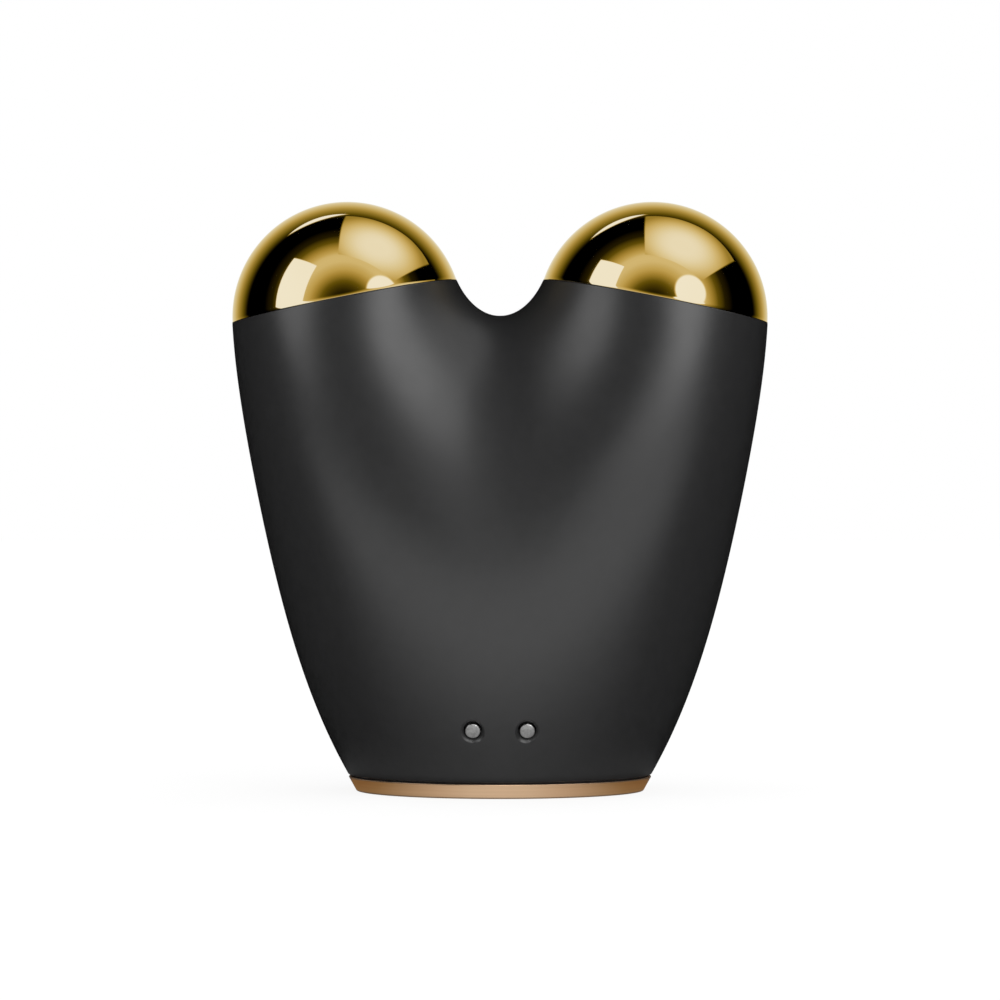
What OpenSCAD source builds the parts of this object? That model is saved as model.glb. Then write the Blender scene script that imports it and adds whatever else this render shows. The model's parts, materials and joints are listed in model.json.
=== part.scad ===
// Facial toning device: two electrode domes on a hand-held body with a small flat base.
// Millimetres, +Z up, origin on the ground under the middle of the base.
// The charging contacts face -Y and the power button faces +Y.

/* [Body outline] */
// Half width of the body at its lower edge
base_half_w = 15.8; // [15.5:0.1:17]
// Half depth of the body at its lower edge
base_half_d = 12.2; // [12:0.1:13.5]
// Height of each rim's centre above the ground
rim_z = 51; // [50.5:0.1:54]
// Distance from the middle plane to each rim's centre
rim_x = 16.2; // [16:0.1:17.5]
// Outer radius of each rim
rim_r = 11.75; // [11.6:0.05:12.4]
// Outward lean of each rim, in degrees
rim_lean = 11; // [9:0.5:13]
// Handles of the side outline, from the base up to the rim
side_handles = [22.8, 23.9, 27.3]; // [20:0.1:30]
// Handles of the half depth, from the base up to the rim
depth_handles = [15.8, 20.6, 16.5, 14.5]; // [14:0.1:22]
// Handles of the inner side of each arm, from the base up to the rim
inner_handles = [-17.8, -28, -8.5, 3, 7.6]; // [-30:0.1:9]
// Handles of the softness of the valley between the arms
valley_handles = [4.2, 6.3, 15, 23]; // [3:0.1:25]

/* [Shells] */
// Thickness of both shells
wall = 1.8; // [1.7:0.05:2]
// Height at which the hollow of the body is roofed between the arms
roof_z = 42; // [40:0.5:42.5]
// Radius of the bore in each rim
rim_bore_r = 10.4; // [10.2:0.05:10.5]
// Depth from the rim down to the shelf in each arm
shelf_depth = 2.8; // [2.6:0.1:3.2]
// Thickness of the shelf
shelf_t = 1.4; // [1.2:0.1:1.8]
// Radius of the hole through the shelf
shelf_hole_r = 9; // [8.6:0.1:9.2]
// Radius of the pocket under the shelf
pocket_r = 10; // [9.9:0.05:10.2]

/* [Domes] */
// Outer radius of each dome
dome_r = 12; // [11.9:0.05:12.6]
// Depth of the dome's centre below its rim
dome_sink = 1.7; // [1.5:0.1:2]
// Wall of the dome
dome_wall = 0.9; // [0.7:0.05:1.1]
// Thickness of the dome's flange line
flange_t = 0.25; // [0.2:0.05:0.35]
// Overhang of the flange past the dome's foot
flange_lip = 0.07; // [0.05:0.01:0.12]
// Length of the skirt that enters the rim
skirt_l = 2.2; // [1.8:0.1:2.4]
// Radius of the stud
stud_r = 1.5; // [1.4:0.05:1.6]
// Radius of the boss that carries the stud
stud_boss_r = 2.8; // [2.4:0.1:3.2]
// Thickness of the clamp disc under the shelf
seat_t = 1.6; // [1.4:0.1:2]
// Thickness of the solder tag
tag_t = 0.4; // [0.3:0.05:0.6]
// Reach of the solder tag's tail from the stud
tag_reach = 7; // [6.5:0.1:7.4]
// Width of the solder tag's tail
tag_w = 2.2; // [1.8:0.1:2.6]
// Thickness of the dome's nut
nut_t = 2.4; // [2:0.1:2.8]
// Width of the nut across its flats
nut_af = 5.5; // [5.3:0.1:6]

/* [Base] */
// Height of the bronze band
trim_h = 1.5; // [1.3:0.05:1.8]
// Inward slope of the band over its height
trim_slope = 0.83; // [0.6:0.01:0.95]
// Inset of the cap inside the body's lower edge
cap_inset = 1.9; // [1.85:0.05:2.1]
// Thickness of the black ring over the band
seal_t = 0.2; // [0.15:0.05:0.3]
// Inset of the black ring inside the body's lower edge
seal_inset = 0.35; // [0.25:0.05:0.5]
// Thickness of the cap
cap_t = 3; // [2.8:0.1:3.3]
// Thickness of the silicone foot
pad_t = 0.8; // [0.6:0.1:1]
// Inset of the foot inside the body's lower edge
pad_inset = 3.4; // [3.2:0.1:3.6]
// Distance of the base screws from the middle, in X
base_screw_x = 8.4; // [8.2:0.1:8.6]
// Distance of the base screws from the middle, in Y
base_screw_y = 5.7; // [5.6:0.1:5.9]
// Height of the screw bosses in the base
base_boss_h = 5; // [4:0.1:5.4]
// Radius of every screw boss
boss_r = 1.9; // [1.8:0.05:2]

/* [Screws] */
// Radius of every screw's shank
screw_r = 0.8; // [0.7:0.05:0.9]
// Radius of every screw's head
screw_head_r = 1.6; // [1.4:0.05:1.65]
// Height of every screw's head
screw_head_h = 1.1; // [0.9:0.05:1.2]
// Length of the base screws under the head
base_screw_l = 5; // [4.4:0.1:5.4]
// Length of the chassis screws under the head
chassis_screw_l = 8.4; // [7.8:0.1:9]

/* [Power button] */
// Height of the button's middle
button_z = 23; // [22.5:0.1:23.5]
// Radius of the button
button_r = 6; // [5.6:0.1:6.3]
// Height of the crown on the button's face
button_crown = 0.5; // [0.3:0.05:0.6]
// Depth of the finger dish round the button
dish_depth = 0.9; // [0.7:0.05:1]
// Radius of the finger dish
dish_r = 7.2; // [7:0.1:7.5]
// Travel of the button
button_travel = 0.3; // [0.2:0.05:0.4]
// Radius of the flange behind the wall
button_flange_r = 7.2; // [7:0.1:7.4]
// Thickness of the guide ring round the flange
guide_t = 0.9; // [0.8:0.05:1]
// Thickness of the flange behind the wall
button_flange_t = 0.9; // [0.8:0.1:1.1]
// Distance from the button's face back to the inside seat of its flange
button_seat = 3; // [2.8:0.1:3.2]
// Radius of the button's stem
button_stem_r = 1.5; // [1.3:0.1:1.7]
// Thickness of the sealing ring's cord on the button
button_ring_t = 0.6; // [0.5:0.05:0.7]

/* [Circuit board] */
// Front face of the board
board_y = 8; // [7.6:0.1:8.2]
// Thickness of the board
board_t = 1.2; // [1:0.1:1.6]
// Half width of the board
board_half_w = 12.5; // [12.2:0.1:12.8]
// Height of the board's lower edge
board_z0 = 9.5; // [9.2:0.1:9.8]
// Height of the board's upper edge
board_z1 = 39.4; // [39.2:0.1:39.8]
// Half width of the tongue under the board
tongue_half_w = 5.6; // [5.4:0.1:6]
// Height of the tongue's lower edge
tongue_z = 6; // [5.8:0.1:6.4]
// Distance of the chassis screws from the middle
chassis_screw_x = 10.2; // [10:0.1:10.4]
// Height of the lower chassis screws
chassis_screw_z0 = 13; // [12.6:0.1:13.4]
// Height of the upper chassis screws
chassis_screw_z1 = 33; // [32.6:0.1:33.4]
// Width of the tactile switch
switch_w = 6; // [5.8:0.1:6.2]
// Height of the tactile switch
switch_h = 3.2; // [2.8:0.1:3.4]
// Radius of the switch's plunger
plunger_r = 1.7; // [1.5:0.05:1.8]
// Height of the switch's plunger above its body
plunger_h = 1.2; // [1:0.1:1.4]
// Height of the status windows
window_z = 32; // [31.6:0.1:32.4]
// Distance between neighbouring status windows
window_pitch = 3.4; // [3:0.1:3.8]
// Radius of the status windows
window_r = 0.7; // [0.6:0.05:0.8]
// Side of each status light
led_w = 1.6; // [1.4:0.1:1.8]
// Height of each status light
led_h = 0.8; // [0.6:0.1:1]
// Distance of the small parts from the board's middle
parts_x = 6; // [5.9:0.1:6.2]
// Height of the controller chip's and the inductor's middle
chips_z = 27; // [26.6:0.1:27.4]
// Width of the controller chip
chip_w = 5; // [4.6:0.1:5.4]
// Width of the charger chip
charger_w = 2.5; // [2.2:0.1:2.8]
// Height of the charger chip's middle
charger_z = 15.5; // [15:0.1:16]
// Thickness of the chips
chip_t = 0.9; // [0.8:0.1:1.1]
// Width of the boost inductor
inductor_w = 4.4; // [4:0.1:4.8]
// Height of the boost inductor
inductor_h = 2.4; // [2:0.1:2.6]
// Width of the output transformer
transformer_w = 6; // [5.6:0.1:6.4]
// Breadth of the output transformer
transformer_d = 3; // [2.6:0.1:3.2]
// Height of the output transformer above the board
transformer_h = 1.5; // [1.3:0.1:1.6]
// Distance from the windows up to the transformer's middle
transformer_rise = 5.4; // [5:0.1:5.6]
// Length of each capacitor
capacitor_l = 1.6; // [1.4:0.1:1.8]
// Width and height of each capacitor
capacitor_w = 0.9; // [0.8:0.05:1]
// Distance between neighbouring capacitors
capacitor_pitch = 2; // [1.8:0.1:2.2]
// Distance from the board's lower edge up to the first capacitor
capacitor_rise = 3; // [2.6:0.1:3.2]
// Radius of the buzzer
buzzer_r = 3.8; // [3.6:0.1:4]
// Height of the buzzer
buzzer_h = 2.2; // [1.8:0.1:2.4]
// Width of the battery connector
plug_w = 4; // [3.8:0.1:4.4]
// Depth of the battery connector
plug_d = 2.4; // [2.2:0.1:2.6]
// Height of the battery connector
plug_h = 2.6; // [2.4:0.1:2.8]
// Distance from the tongue's lower edge up to the connector's middle
plug_rise = 1.6; // [1.5:0.1:1.8]

/* [Chassis and battery] */
// Height of the chassis plate's upper edge
chassis_z1 = 37.4; // [37.2:0.1:37.8]
// Thickness of the chassis plate
chassis_t = 1.2; // [1:0.1:1.4]
// Gap between the chassis plate and the board
chassis_gap = 2.8; // [2.6:0.1:3]
// Width of the battery
battery_w = 14; // [13.4:0.1:14.4]
// Height of the battery
battery_h = 25; // [24:0.5:25.5]
// Thickness of the battery
battery_t = 6.8; // [6.4:0.1:7.2]
// Height of the battery's lower end
battery_z = 11.4; // [11.2:0.1:11.6]
// Thickness of the foam pad behind the battery
foam_t = 0.4; // [0.3:0.05:0.5]
// Inset of the foam pad inside the battery's outline
foam_inset = 1; // [0.8:0.1:1.2]
// Thickness of the walls round the battery
pocket_wall = 0.7; // [0.6:0.05:0.8]
// Depth of the walls round the battery
pocket_depth = 4; // [3.6:0.1:4.6]

/* [Charging contacts] */
// Height of the charging contacts
contact_z = 7; // [6.9:0.1:7.4]
// Distance between the charging contacts
contact_pitch = 5.5; // [5.3:0.1:5.7]
// Radius of each contact's face
contact_r = 0.75; // [0.7:0.05:0.8]
// Radius of the dish round each contact
contact_dish_r = 1.35; // [1.25:0.05:1.4]
// Depth of the dish round each contact
contact_dish_depth = 0.5; // [0.4:0.05:0.6]
// Half width of the contact carrier
carrier_half_w = 5.6; // [5.4:0.1:5.8]
// Thickness of the contact carrier
carrier_t = 2.8; // [2.6:0.1:3]
// Reach of the carrier below the contacts
carrier_down = 2.4; // [2.2:0.1:2.6]
// Reach of the carrier above the contacts
carrier_up = 6.8; // [6.6:0.1:7.2]
// Radius of the flange on each pin
pin_flange_r = 1.2; // [1.1:0.05:1.25]
// Radius of each pin's tail
pin_tail_r = 0.45; // [0.4:0.05:0.5]
// Length of each pin's tail behind the carrier
pin_tail_l = 1.5; // [1.2:0.1:1.8]
// Radius of each charging magnet
magnet_r = 2; // [1.8:0.1:2.1]
// Thickness of each charging magnet
magnet_t = 1.6; // [1.4:0.1:1.8]
// Distance between the two magnets' edges
magnet_gap = 2; // [1.6:0.1:2.2]
// Distance from the magnets' edges to the carrier's upper edge
magnet_edge = 0.5; // [0.4:0.05:0.7]

/* [Leads] */
// Radius of every lead
wire_r = 0.45; // [0.4:0.05:0.5]
// Distance between the two battery leads
lead_pitch = 2; // [1.8:0.1:2.2]
// Straight run of the battery leads below the battery
battery_lead_drop = 4; // [3.8:0.1:4.2]
// Straight run of the battery leads into their connector
battery_lead_reach = 3; // [2.8:0.1:3.2]
// Straight run of the charging leads from their pins
charge_lead_start = 2; // [1.8:0.1:2.2]
// Bend of the charging leads under the battery
charge_lead_bend = 5; // [4.8:0.1:5.2]
// Straight run of the dome leads from their tags
dome_lead_drop = 4; // [3.8:0.1:4.2]
// Straight run of the dome leads into the board
dome_lead_reach = 7; // [6.8:0.1:7.2]

/* [Hidden] */
$fn = 64;

// Clearances: a loose fit in one assembly, and the running fit of the button
slip = 0.1;
running = 0.06;
// Overshoot of every cut past the face that it opens
over = 1;
left = -1;
right = 1;
wire_sides = 8;
body_z = trim_h + seal_t;
pocket_reach = 12;
screw_fit = 0.05;
// Depth that a boss sinks into the wall that carries it
boss_root = 0.45;
rib_t = 1.2;
tag_rim = 0.4;
pipe_bar_t = 1;
pipe_bar_y = 2.8;

// ---- Curves of the body. t runs from 0 at the lower edge to 1 at the rims. ----

function bezier(p, t) = len(p) == 1 ? p[0]
    : bezier([for (i = [0 : len(p) - 2]) p[i] * (1 - t) + p[i + 1] * t], t);

rim_half_w = rim_r * cos(rim_lean);
side_curve = concat([base_half_w], side_handles, [rim_x + rim_half_w]);
depth_curve = concat([base_half_d], depth_handles, [rim_r]);
inner_curve = concat([-base_half_w], inner_handles, [rim_x - rim_half_w]);
valley_curve = concat([0], valley_handles);

function outer_at(t) = bezier(side_curve, t);
function depth_at(t) = bezier(depth_curve, t);
function inner_at(t) = bezier(inner_curve, t);
function valley_at(t) = bezier(valley_curve, t) * sqrt(1 - t);
function lean_at(t) = tan(rim_lean) * t * t;
function share(z) = max(0, min(1, (z - body_z) / (rim_z - body_z)));

// The share of the height at which the two arms part
function parting(lo, hi, n) = n == 0 ? hi
    : let (mid = (lo + hi) / 2)
      inner_at(mid) < valley_at(mid) ? parting(mid, hi, n - 1) : parting(lo, mid, n - 1);
saddle_t = parting(0.6, 0.999, 40);

// Distance from the middle plane, rounded off in the valley
function spread(x, t) = let (a = outer_at(t), g = valley_at(t)) norm([x, g * (1 - x * x / (a * a))]);

// A point of the rear right quarter. u runs from 0 at the side to 1 in the middle or on the saddle's wall.
function skin(t, u, inset, open) = let (
    a = outer_at(t) - inset,
    i = inner_at(t) + inset,
    g = valley_at(t),
    c = (a + i) / 2,
    w = (a - i) / 2,
    turn = open ? 180 : acos(max(-1, min(1, (g - c) / w))),
    m = c + w * cos(u * turn),
    k = 1 - 2 * g * g / (a * a),
    q = max(0, m * m - g * g),
    x = sqrt(2 * q / (k + sqrt(k * k + 4 * q * g * g / pow(a, 4)))),
    z = body_z + t * (rim_z - body_z) - lean_at(t) * (m - rim_x)
) [(u == 1 && !open) ? 0 : x, u == 0 ? 0 : -(depth_at(t) - inset) * sin(u * turn), z];

// Half depth of the outside at a place of the front or rear, found by stepping to its section
function section_of(x, z, n) = n == 0 ? share(z)
    : let (t = section_of(x, z, n - 1)) share(z + lean_at(t) * (spread(x, t) - rim_x));
function face_y(x, z) = let (
    t = section_of(x, z, 12),
    a = outer_at(t),
    i = inner_at(t),
    s = (spread(x, t) - (a + i) / 2) / ((a - i) / 2)
) depth_at(t) * sqrt(max(0, 1 - s * s));

// Slope of the rear at the charging contacts, and the place of the right-hand contact's face
contact_slope = atan((face_y(0, contact_z + 1) - face_y(0, contact_z - 1)) / 2);
contact_y = face_y(contact_pitch / 2, contact_z);
button_y = face_y(0, button_z);
button_seat_y = button_y - button_seat;
// The sealing ring stands just proud of the button's neck and just clear of its groove's floor
ring_gap = 0.02;
ring_in_r = button_r + ring_gap - button_ring_t;
ring_y = button_seat_y + (button_seat - dish_depth - button_ring_t) / 2;
plunger_y = board_y + switch_h + plunger_h;
chassis_y = board_y - board_t - chassis_gap;
battery_y = chassis_y - chassis_t - foam_t;
carrier_depth = wall;

// ---- The shell's skin: one half of the body as one closed surface ----

SIDE_STEPS = 16;
LOWER_STEPS = 22;
UPPER_STEPS = 6;
IN_SIDE_STEPS = 12;
IN_STEPS = 14;
ROWS = LOWER_STEPS + UPPER_STEPS;

// Shares of the height of the outer rows, closer together near the saddle
function row_t(j) = j <= LOWER_STEPS ? saddle_t * sin(90 * j / LOWER_STEPS)
    : saddle_t + (1 - saddle_t) * pow((j - LOWER_STEPS) / UPPER_STEPS, 2);
roof_t = share(roof_z);

function flip(p) = [-p[0], p[1], p[2]];
outer_r = [for (j = [0 : ROWS], i = [0 : SIDE_STEPS])
    (j == LOWER_STEPS && i == SIDE_STEPS) ? [0, 0, skin(row_t(j), 1, 0, false)[2]]
    : skin(row_t(j), i / SIDE_STEPS, 0, j > LOWER_STEPS)];
inner_r = [for (j = [0 : IN_STEPS], i = [0 : IN_SIDE_STEPS])
    skin(roof_t * j / IN_STEPS, i / IN_SIDE_STEPS, wall, false)];
roof_r = [for (i = [0 : IN_SIDE_STEPS])
    let (p = inner_r[IN_STEPS * (IN_SIDE_STEPS + 1) + i]) [p[0], 0, p[2]]];
skin_points = concat(outer_r, [for (p = outer_r) flip(p)], inner_r, [for (p = inner_r) flip(p)],
    roof_r, [for (p = roof_r) flip(p)]);

// Indices of the points. Points on the middle plane are shared by the right and left quarters.
function out_at(s, j, i) = ((s == left && !(i == SIDE_STEPS && j <= LOWER_STEPS)) ? len(outer_r) : 0)
    + j * (SIDE_STEPS + 1) + i;
function in_at(s, j, i) = 2 * len(outer_r) + ((s == left && i < IN_SIDE_STEPS) ? len(inner_r) : 0)
    + j * (IN_SIDE_STEPS + 1) + i;
function roof_at(s, i) = i == 0 ? in_at(s, IN_STEPS, 0)
    : 2 * len(outer_r) + 2 * len(inner_r) + ((s == left && i < IN_SIDE_STEPS) ? len(roof_r) : 0) + i;

function turned(f, s) = s == right ? f : [for (k = [len(f) - 1 : -1 : 0]) f[k]];
function quad(a, b, c, d, s) = [turned([a, b, c], s), turned([a, c, d], s)];
function outer_faces(s) = [for (j = [0 : ROWS - 1], i = [0 : SIDE_STEPS - 1])
    each quad(out_at(s, j, i + 1), out_at(s, j + 1, i + 1), out_at(s, j + 1, i), out_at(s, j, i), s)];
function inner_faces(s) = [for (j = [0 : IN_STEPS - 1], i = [0 : IN_SIDE_STEPS - 1])
    each quad(in_at(s, j, i), in_at(s, j + 1, i), in_at(s, j + 1, i + 1), in_at(s, j, i + 1), s)];
function roof_faces(s) = concat(
    [turned([roof_at(s, 1), in_at(s, IN_STEPS, 1), in_at(s, IN_STEPS, 0)], s)],
    [for (i = [1 : IN_SIDE_STEPS - 1]) each quad(roof_at(s, i), roof_at(s, i + 1),
        in_at(s, IN_STEPS, i + 1), in_at(s, IN_STEPS, i), s)]);
function rim_faces(s) = [for (i = [1 : SIDE_STEPS - 1])
    turned([out_at(s, ROWS, 0), out_at(s, ROWS, i), out_at(s, ROWS, i + 1)], s)];
// Triangles between two chains of points that run side by side, each point with its share of the way
function bridge(a, b, ka, kb, i = 0, j = 0) = (i == len(a) - 1 && j == len(b) - 1) ? []
    : (j == len(b) - 1 || (i < len(a) - 1 && ka[i + 1] <= kb[j + 1]))
        ? concat([[a[i], a[i + 1], b[j]]], bridge(a, b, ka, kb, i + 1, j))
        : concat([[a[i], b[j + 1], b[j]]], bridge(a, b, ka, kb, i, j + 1));
function base_faces(s) = [for (f = bridge(
    [for (i = [0 : SIDE_STEPS]) out_at(s, 0, i)],
    [for (i = [0 : IN_SIDE_STEPS]) in_at(s, 0, i)],
    [for (i = [0 : SIDE_STEPS]) i / SIDE_STEPS],
    [for (i = [0 : IN_SIDE_STEPS]) i / IN_SIDE_STEPS])) turned(f, -s)];

// The face on the middle plane Y = 0 runs up the side, over the rim and down the saddle's wall.
// Past the roof's height a point's share counts how near it is to the middle.
function across(x) = 2 - x / (2 * rim_x + 2 * rim_r);
seam_out_share = concat([for (j = [0 : ROWS]) row_t(j) <= roof_t ? row_t(j) : 1],
    [for (j = [ROWS : -1 : LOWER_STEPS]) across(outer_r[j * (SIDE_STEPS + 1) + SIDE_STEPS][0])]);
seam_in_share = concat([for (j = [0 : IN_STEPS]) roof_t * j / IN_STEPS],
    [for (i = [1 : IN_SIDE_STEPS]) across(roof_r[i][0])]);
function seam_faces(s) = [for (f = bridge(
    concat([for (j = [0 : ROWS]) out_at(s, j, 0)],
        [for (j = [ROWS : -1 : LOWER_STEPS]) out_at(s, j, SIDE_STEPS)]),
    concat([for (j = [0 : IN_STEPS]) in_at(s, j, 0)],
        [for (i = [1 : IN_SIDE_STEPS]) roof_at(s, i)]),
    seam_out_share, seam_in_share)) turned(f, s)];

module half_skin() {
    polyhedron(points = skin_points, convexity = 10, faces = concat(
        outer_faces(right), outer_faces(left), inner_faces(right), inner_faces(left),
        roof_faces(right), roof_faces(left), rim_faces(right), rim_faces(left),
        base_faces(right), base_faces(left), seam_faces(right), seam_faces(left)));
}

// ---- Frames of reference ----

// Puts its children in an arm's own frame: the rim's middle, with +Z along the dome's axis
module on_arm(side) {
    translate([side * rim_x, 0, rim_z])
        rotate([0, side * rim_lean, 0])
            children();
}

// Puts its children at the charging contacts: -Y points squarely out of the rear
module at_contacts() {
    translate([0, -contact_y, contact_z])
        rotate([contact_slope, 0, 0])
            children();
}

// A cylinder along +Y that starts at y
module along_y(x, y, z, r, l) {
    translate([x, y, z])
        rotate([-90, 0, 0])
            cylinder(r = r, h = l);
}

// A ring in the ground plane's direction between two radii
module ring(r_out, r_in, h) {
    difference() {
        cylinder(r = r_out, h = h);
        translate([0, 0, -over])
            cylinder(r = r_in, h = h + 2 * over);
    }
}

// An upright oval prism, parallel to the body's lower edge at the given inset
function oval(inset) = [for (k = [0 : 71])
    [(base_half_w - inset) * cos(5 * k), (base_half_d - inset) * sin(5 * k)]];
module oval_prism(inset, z, h) {
    translate([0, 0, z])
        linear_extrude(height = h)
            polygon(oval(inset));
}

// A rectangular block by its middle in X and Z, its near face in Y and its size
module block(x, y, z, w, d, h) {
    translate([x - w / 2, y, z - h / 2])
        cube([w, d, h]);
}

// ---- Shells ----

module shelf_cuts() {
    for (side = [left, right])
        on_arm(side)
            rotate([0, 0, 90]) {
                translate([0, 0, -shelf_depth])
                    cylinder(r = rim_bore_r, h = shelf_depth + over);
                translate([0, 0, -shelf_depth - shelf_t - over])
                    cylinder(r = shelf_hole_r, h = shelf_t + 2 * over);
                translate([0, 0, -pocket_reach])
                    cylinder(r = pocket_r, h = pocket_reach - shelf_depth - shelf_t);
            }
}

module base_bosses() {
    for (x = [-base_screw_x, base_screw_x]) {
        translate([x, -base_screw_y, cap_t])
            cylinder(r = boss_r, h = base_boss_h);
        rib_angle = atan2(-base_screw_y / base_half_d, x / base_half_w);
        translate([x, -base_screw_y, cap_t])
            rotate([0, 0, atan2(base_half_d * sin(rib_angle), base_half_w * cos(rib_angle))])
                translate([0, -rib_t / 2, 0])
                    cube([boss_r + wall, rib_t, base_boss_h - over]);
    }
}

module base_boss_holes() {
    for (x = [-base_screw_x, base_screw_x])
        translate([x, -base_screw_y, cap_t - over])
            cylinder(r = screw_r + screw_fit, h = base_boss_h);
}

module rear_shell() {
    color([0.2, 0.2, 0.22])
        difference() {
            union() {
                half_skin();
                base_bosses();
            }
            shelf_cuts();
            base_boss_holes();
            at_contacts()
                translate([-carrier_half_w - slip, carrier_depth, -carrier_down - slip])
                    cube([2 * (carrier_half_w + slip), carrier_t + over,
                        carrier_down + carrier_up + 2 * slip]);
            for (side = [left, right])
                contact_hole(side);
        }
}

module contact_hole(side) {
    at_contacts() {
        along_y(side * contact_pitch / 2, -over, 0, contact_r + slip, carrier_depth + 2 * over);
        translate([side * contact_pitch / 2, contact_dish_depth, 0])
            rotate([90, 0, 0])
                cylinder(r1 = contact_r + 2 * slip, r2 = contact_dish_r + over / 2,
                    h = contact_dish_depth + over);
    }
}

module chassis_boss(x, z) {
    along_y(x, board_y, z, boss_r, face_y(x, z) - wall + boss_root - board_y);
}

module front_shell() {
    color([0.2, 0.2, 0.22])
        difference() {
            union() {
                mirror([0, 1, 0]) {
                    half_skin();
                    base_bosses();
                }
                along_y(0, button_seat_y, button_z, button_flange_r + guide_t, button_seat - wall);
                for (x = [-chassis_screw_x, chassis_screw_x], z = [chassis_screw_z0, chassis_screw_z1])
                    chassis_boss(x, z);
            }
            mirror([0, 1, 0]) {
                shelf_cuts();
                base_boss_holes();
            }
            along_y(0, button_y - dish_depth, button_z, dish_r, dish_depth + over);
            along_y(0, board_y, button_z, button_r + running, button_y - board_y + over);
            along_y(0, board_y + switch_h, button_z, button_flange_r + slip,
                button_seat_y - board_y - switch_h);
            for (k = [-1 : 1])
                along_y(k * window_pitch, board_y + led_h + over, window_z, window_r + screw_fit,
                    button_y);
            for (x = [-chassis_screw_x, chassis_screw_x], z = [chassis_screw_z0, chassis_screw_z1])
                along_y(x, board_y - over, z, screw_r + screw_fit,
                    chassis_screw_l - board_t - chassis_gap - chassis_t + 2 * over);
        }
}

// ---- Base ----

module base_trim() {
    top = oval(0);
    foot = oval(trim_slope);
    n = len(top);
    color([0.76, 0.55, 0.42])
        difference() {
            polyhedron(convexity = 4,
                points = concat([for (p = foot) [p[0], p[1], 0]], [for (p = top) [p[0], p[1], trim_h]]),
                faces = concat([[for (k = [0 : n - 1]) k]], [[for (k = [n - 1 : -1 : 0]) n + k]],
                    [for (k = [0 : n - 1]) each [[k, n + k, (k + 1) % n],
                        [(k + 1) % n, n + k, n + (k + 1) % n]]]));
            oval_prism(cap_inset, -over, trim_h + 2 * over);
        }
}

module base_cap() {
    color([0.16, 0.16, 0.18])
        difference() {
            union() {
                oval_prism(cap_inset, 0, trim_h);
                oval_prism(cap_inset + 2 * slip, 0, cap_t);
            }
            oval_prism(pad_inset - slip, -over, pad_t + over);
            for (x = [-base_screw_x, base_screw_x], y = [-base_screw_y, base_screw_y])
                translate([x, y, 0]) {
                    cylinder(r = screw_r + slip, h = cap_t + over);
                    cylinder(r = screw_head_r + slip, h = pad_t + screw_head_h);
                }
        }
}

module base_seal() {
    color([0.05, 0.05, 0.05])
        difference() {
            oval_prism(seal_inset, trim_h, seal_t);
            oval_prism(cap_inset, trim_h - over, seal_t + 2 * over);
        }
}

module base_screws() {
    color([0.6, 0.6, 0.62])
        for (x = [-base_screw_x, base_screw_x], y = [-base_screw_y, base_screw_y])
            translate([x, y, pad_t + screw_head_h]) {
                cylinder(r = screw_r, h = base_screw_l);
                translate([0, 0, -screw_head_h])
                    cylinder(r = screw_head_r, h = screw_head_h);
            }
}

module base_pad() {
    color([0.12, 0.12, 0.13])
        oval_prism(pad_inset, 0, pad_t);
}

// ---- Domes ----

module dome(side) {
    skirt_r = rim_bore_r - slip;
    stud_end = shelf_depth + shelf_t + seat_t + tag_t + nut_t + over / 2;
    color([0.95, 0.82, 0.55])
        on_arm(side)
            rotate_extrude($fn = 96)
                intersection() {
                    union() {
                        difference() {
                            translate([0, -dome_sink])
                                circle(r = dome_r, $fn = 96);
                            translate([-dome_r, -2 * dome_r])
                                square([2 * dome_r, 2 * dome_r]);
                            translate([0, -dome_sink])
                                circle(r = dome_r - dome_wall, $fn = 96);
                        }
                        translate([skirt_r - dome_wall, 0])
                            square([sqrt(dome_r * dome_r - dome_sink * dome_sink) + flange_lip
                                - skirt_r + dome_wall, flange_t]);
                        translate([skirt_r - dome_wall, -skirt_l])
                            square([dome_wall, skirt_l + flange_t]);
                        translate([0, flange_t])
                            square([stud_boss_r, dome_r - dome_sink - dome_wall / 2 - flange_t]);
                        translate([0, -stud_end])
                            square([stud_r, stud_end + flange_t]);
                    }
                    translate([0, -2 * dome_r])
                        square([2 * dome_r, 4 * dome_r]);
                }
}

module dome_gasket(side) {
    color([0.1, 0.1, 0.1])
        on_arm(side)
            translate([0, 0, -shelf_depth])
                ring(rim_bore_r - slip, shelf_hole_r + slip, shelf_depth - skirt_l);
}

module dome_seat(side) {
    color([0.3, 0.3, 0.32])
        on_arm(side)
            translate([0, 0, -shelf_depth - shelf_t - seat_t])
                ring(pocket_r - slip, stud_r + slip, seat_t);
}

module solder_tag(side) {
    color([0.8, 0.78, 0.7])
        on_arm(side)
            translate([0, 0, -shelf_depth - shelf_t - seat_t - tag_t])
                difference() {
                    union() {
                        cylinder(r = nut_af / 2 + tag_rim, h = tag_t);
                        translate([min(0, -side * tag_reach), -tag_w / 2, 0])
                            cube([tag_reach, tag_w, tag_t]);
                    }
                    translate([0, 0, -over])
                        cylinder(r = stud_r + screw_fit, h = tag_t + 2 * over);
                }
}

module dome_nut(side) {
    color([0.7, 0.7, 0.7])
        on_arm(side)
            translate([0, 0, -shelf_depth - shelf_t - seat_t - tag_t - nut_t])
                difference() {
                    cylinder(r = nut_af / 2 / cos(30), h = nut_t, $fn = 6);
                    translate([0, 0, -over])
                        cylinder(r = stud_r + screw_fit, h = nut_t + 2 * over);
                }
}

// ---- Wires: a round tube swept along a Bezier route ----

function unit(v) = v / norm(v);
function slope_of(p, t) = bezier([for (i = [0 : len(p) - 2]) p[i + 1] - p[i]], t);

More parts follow.
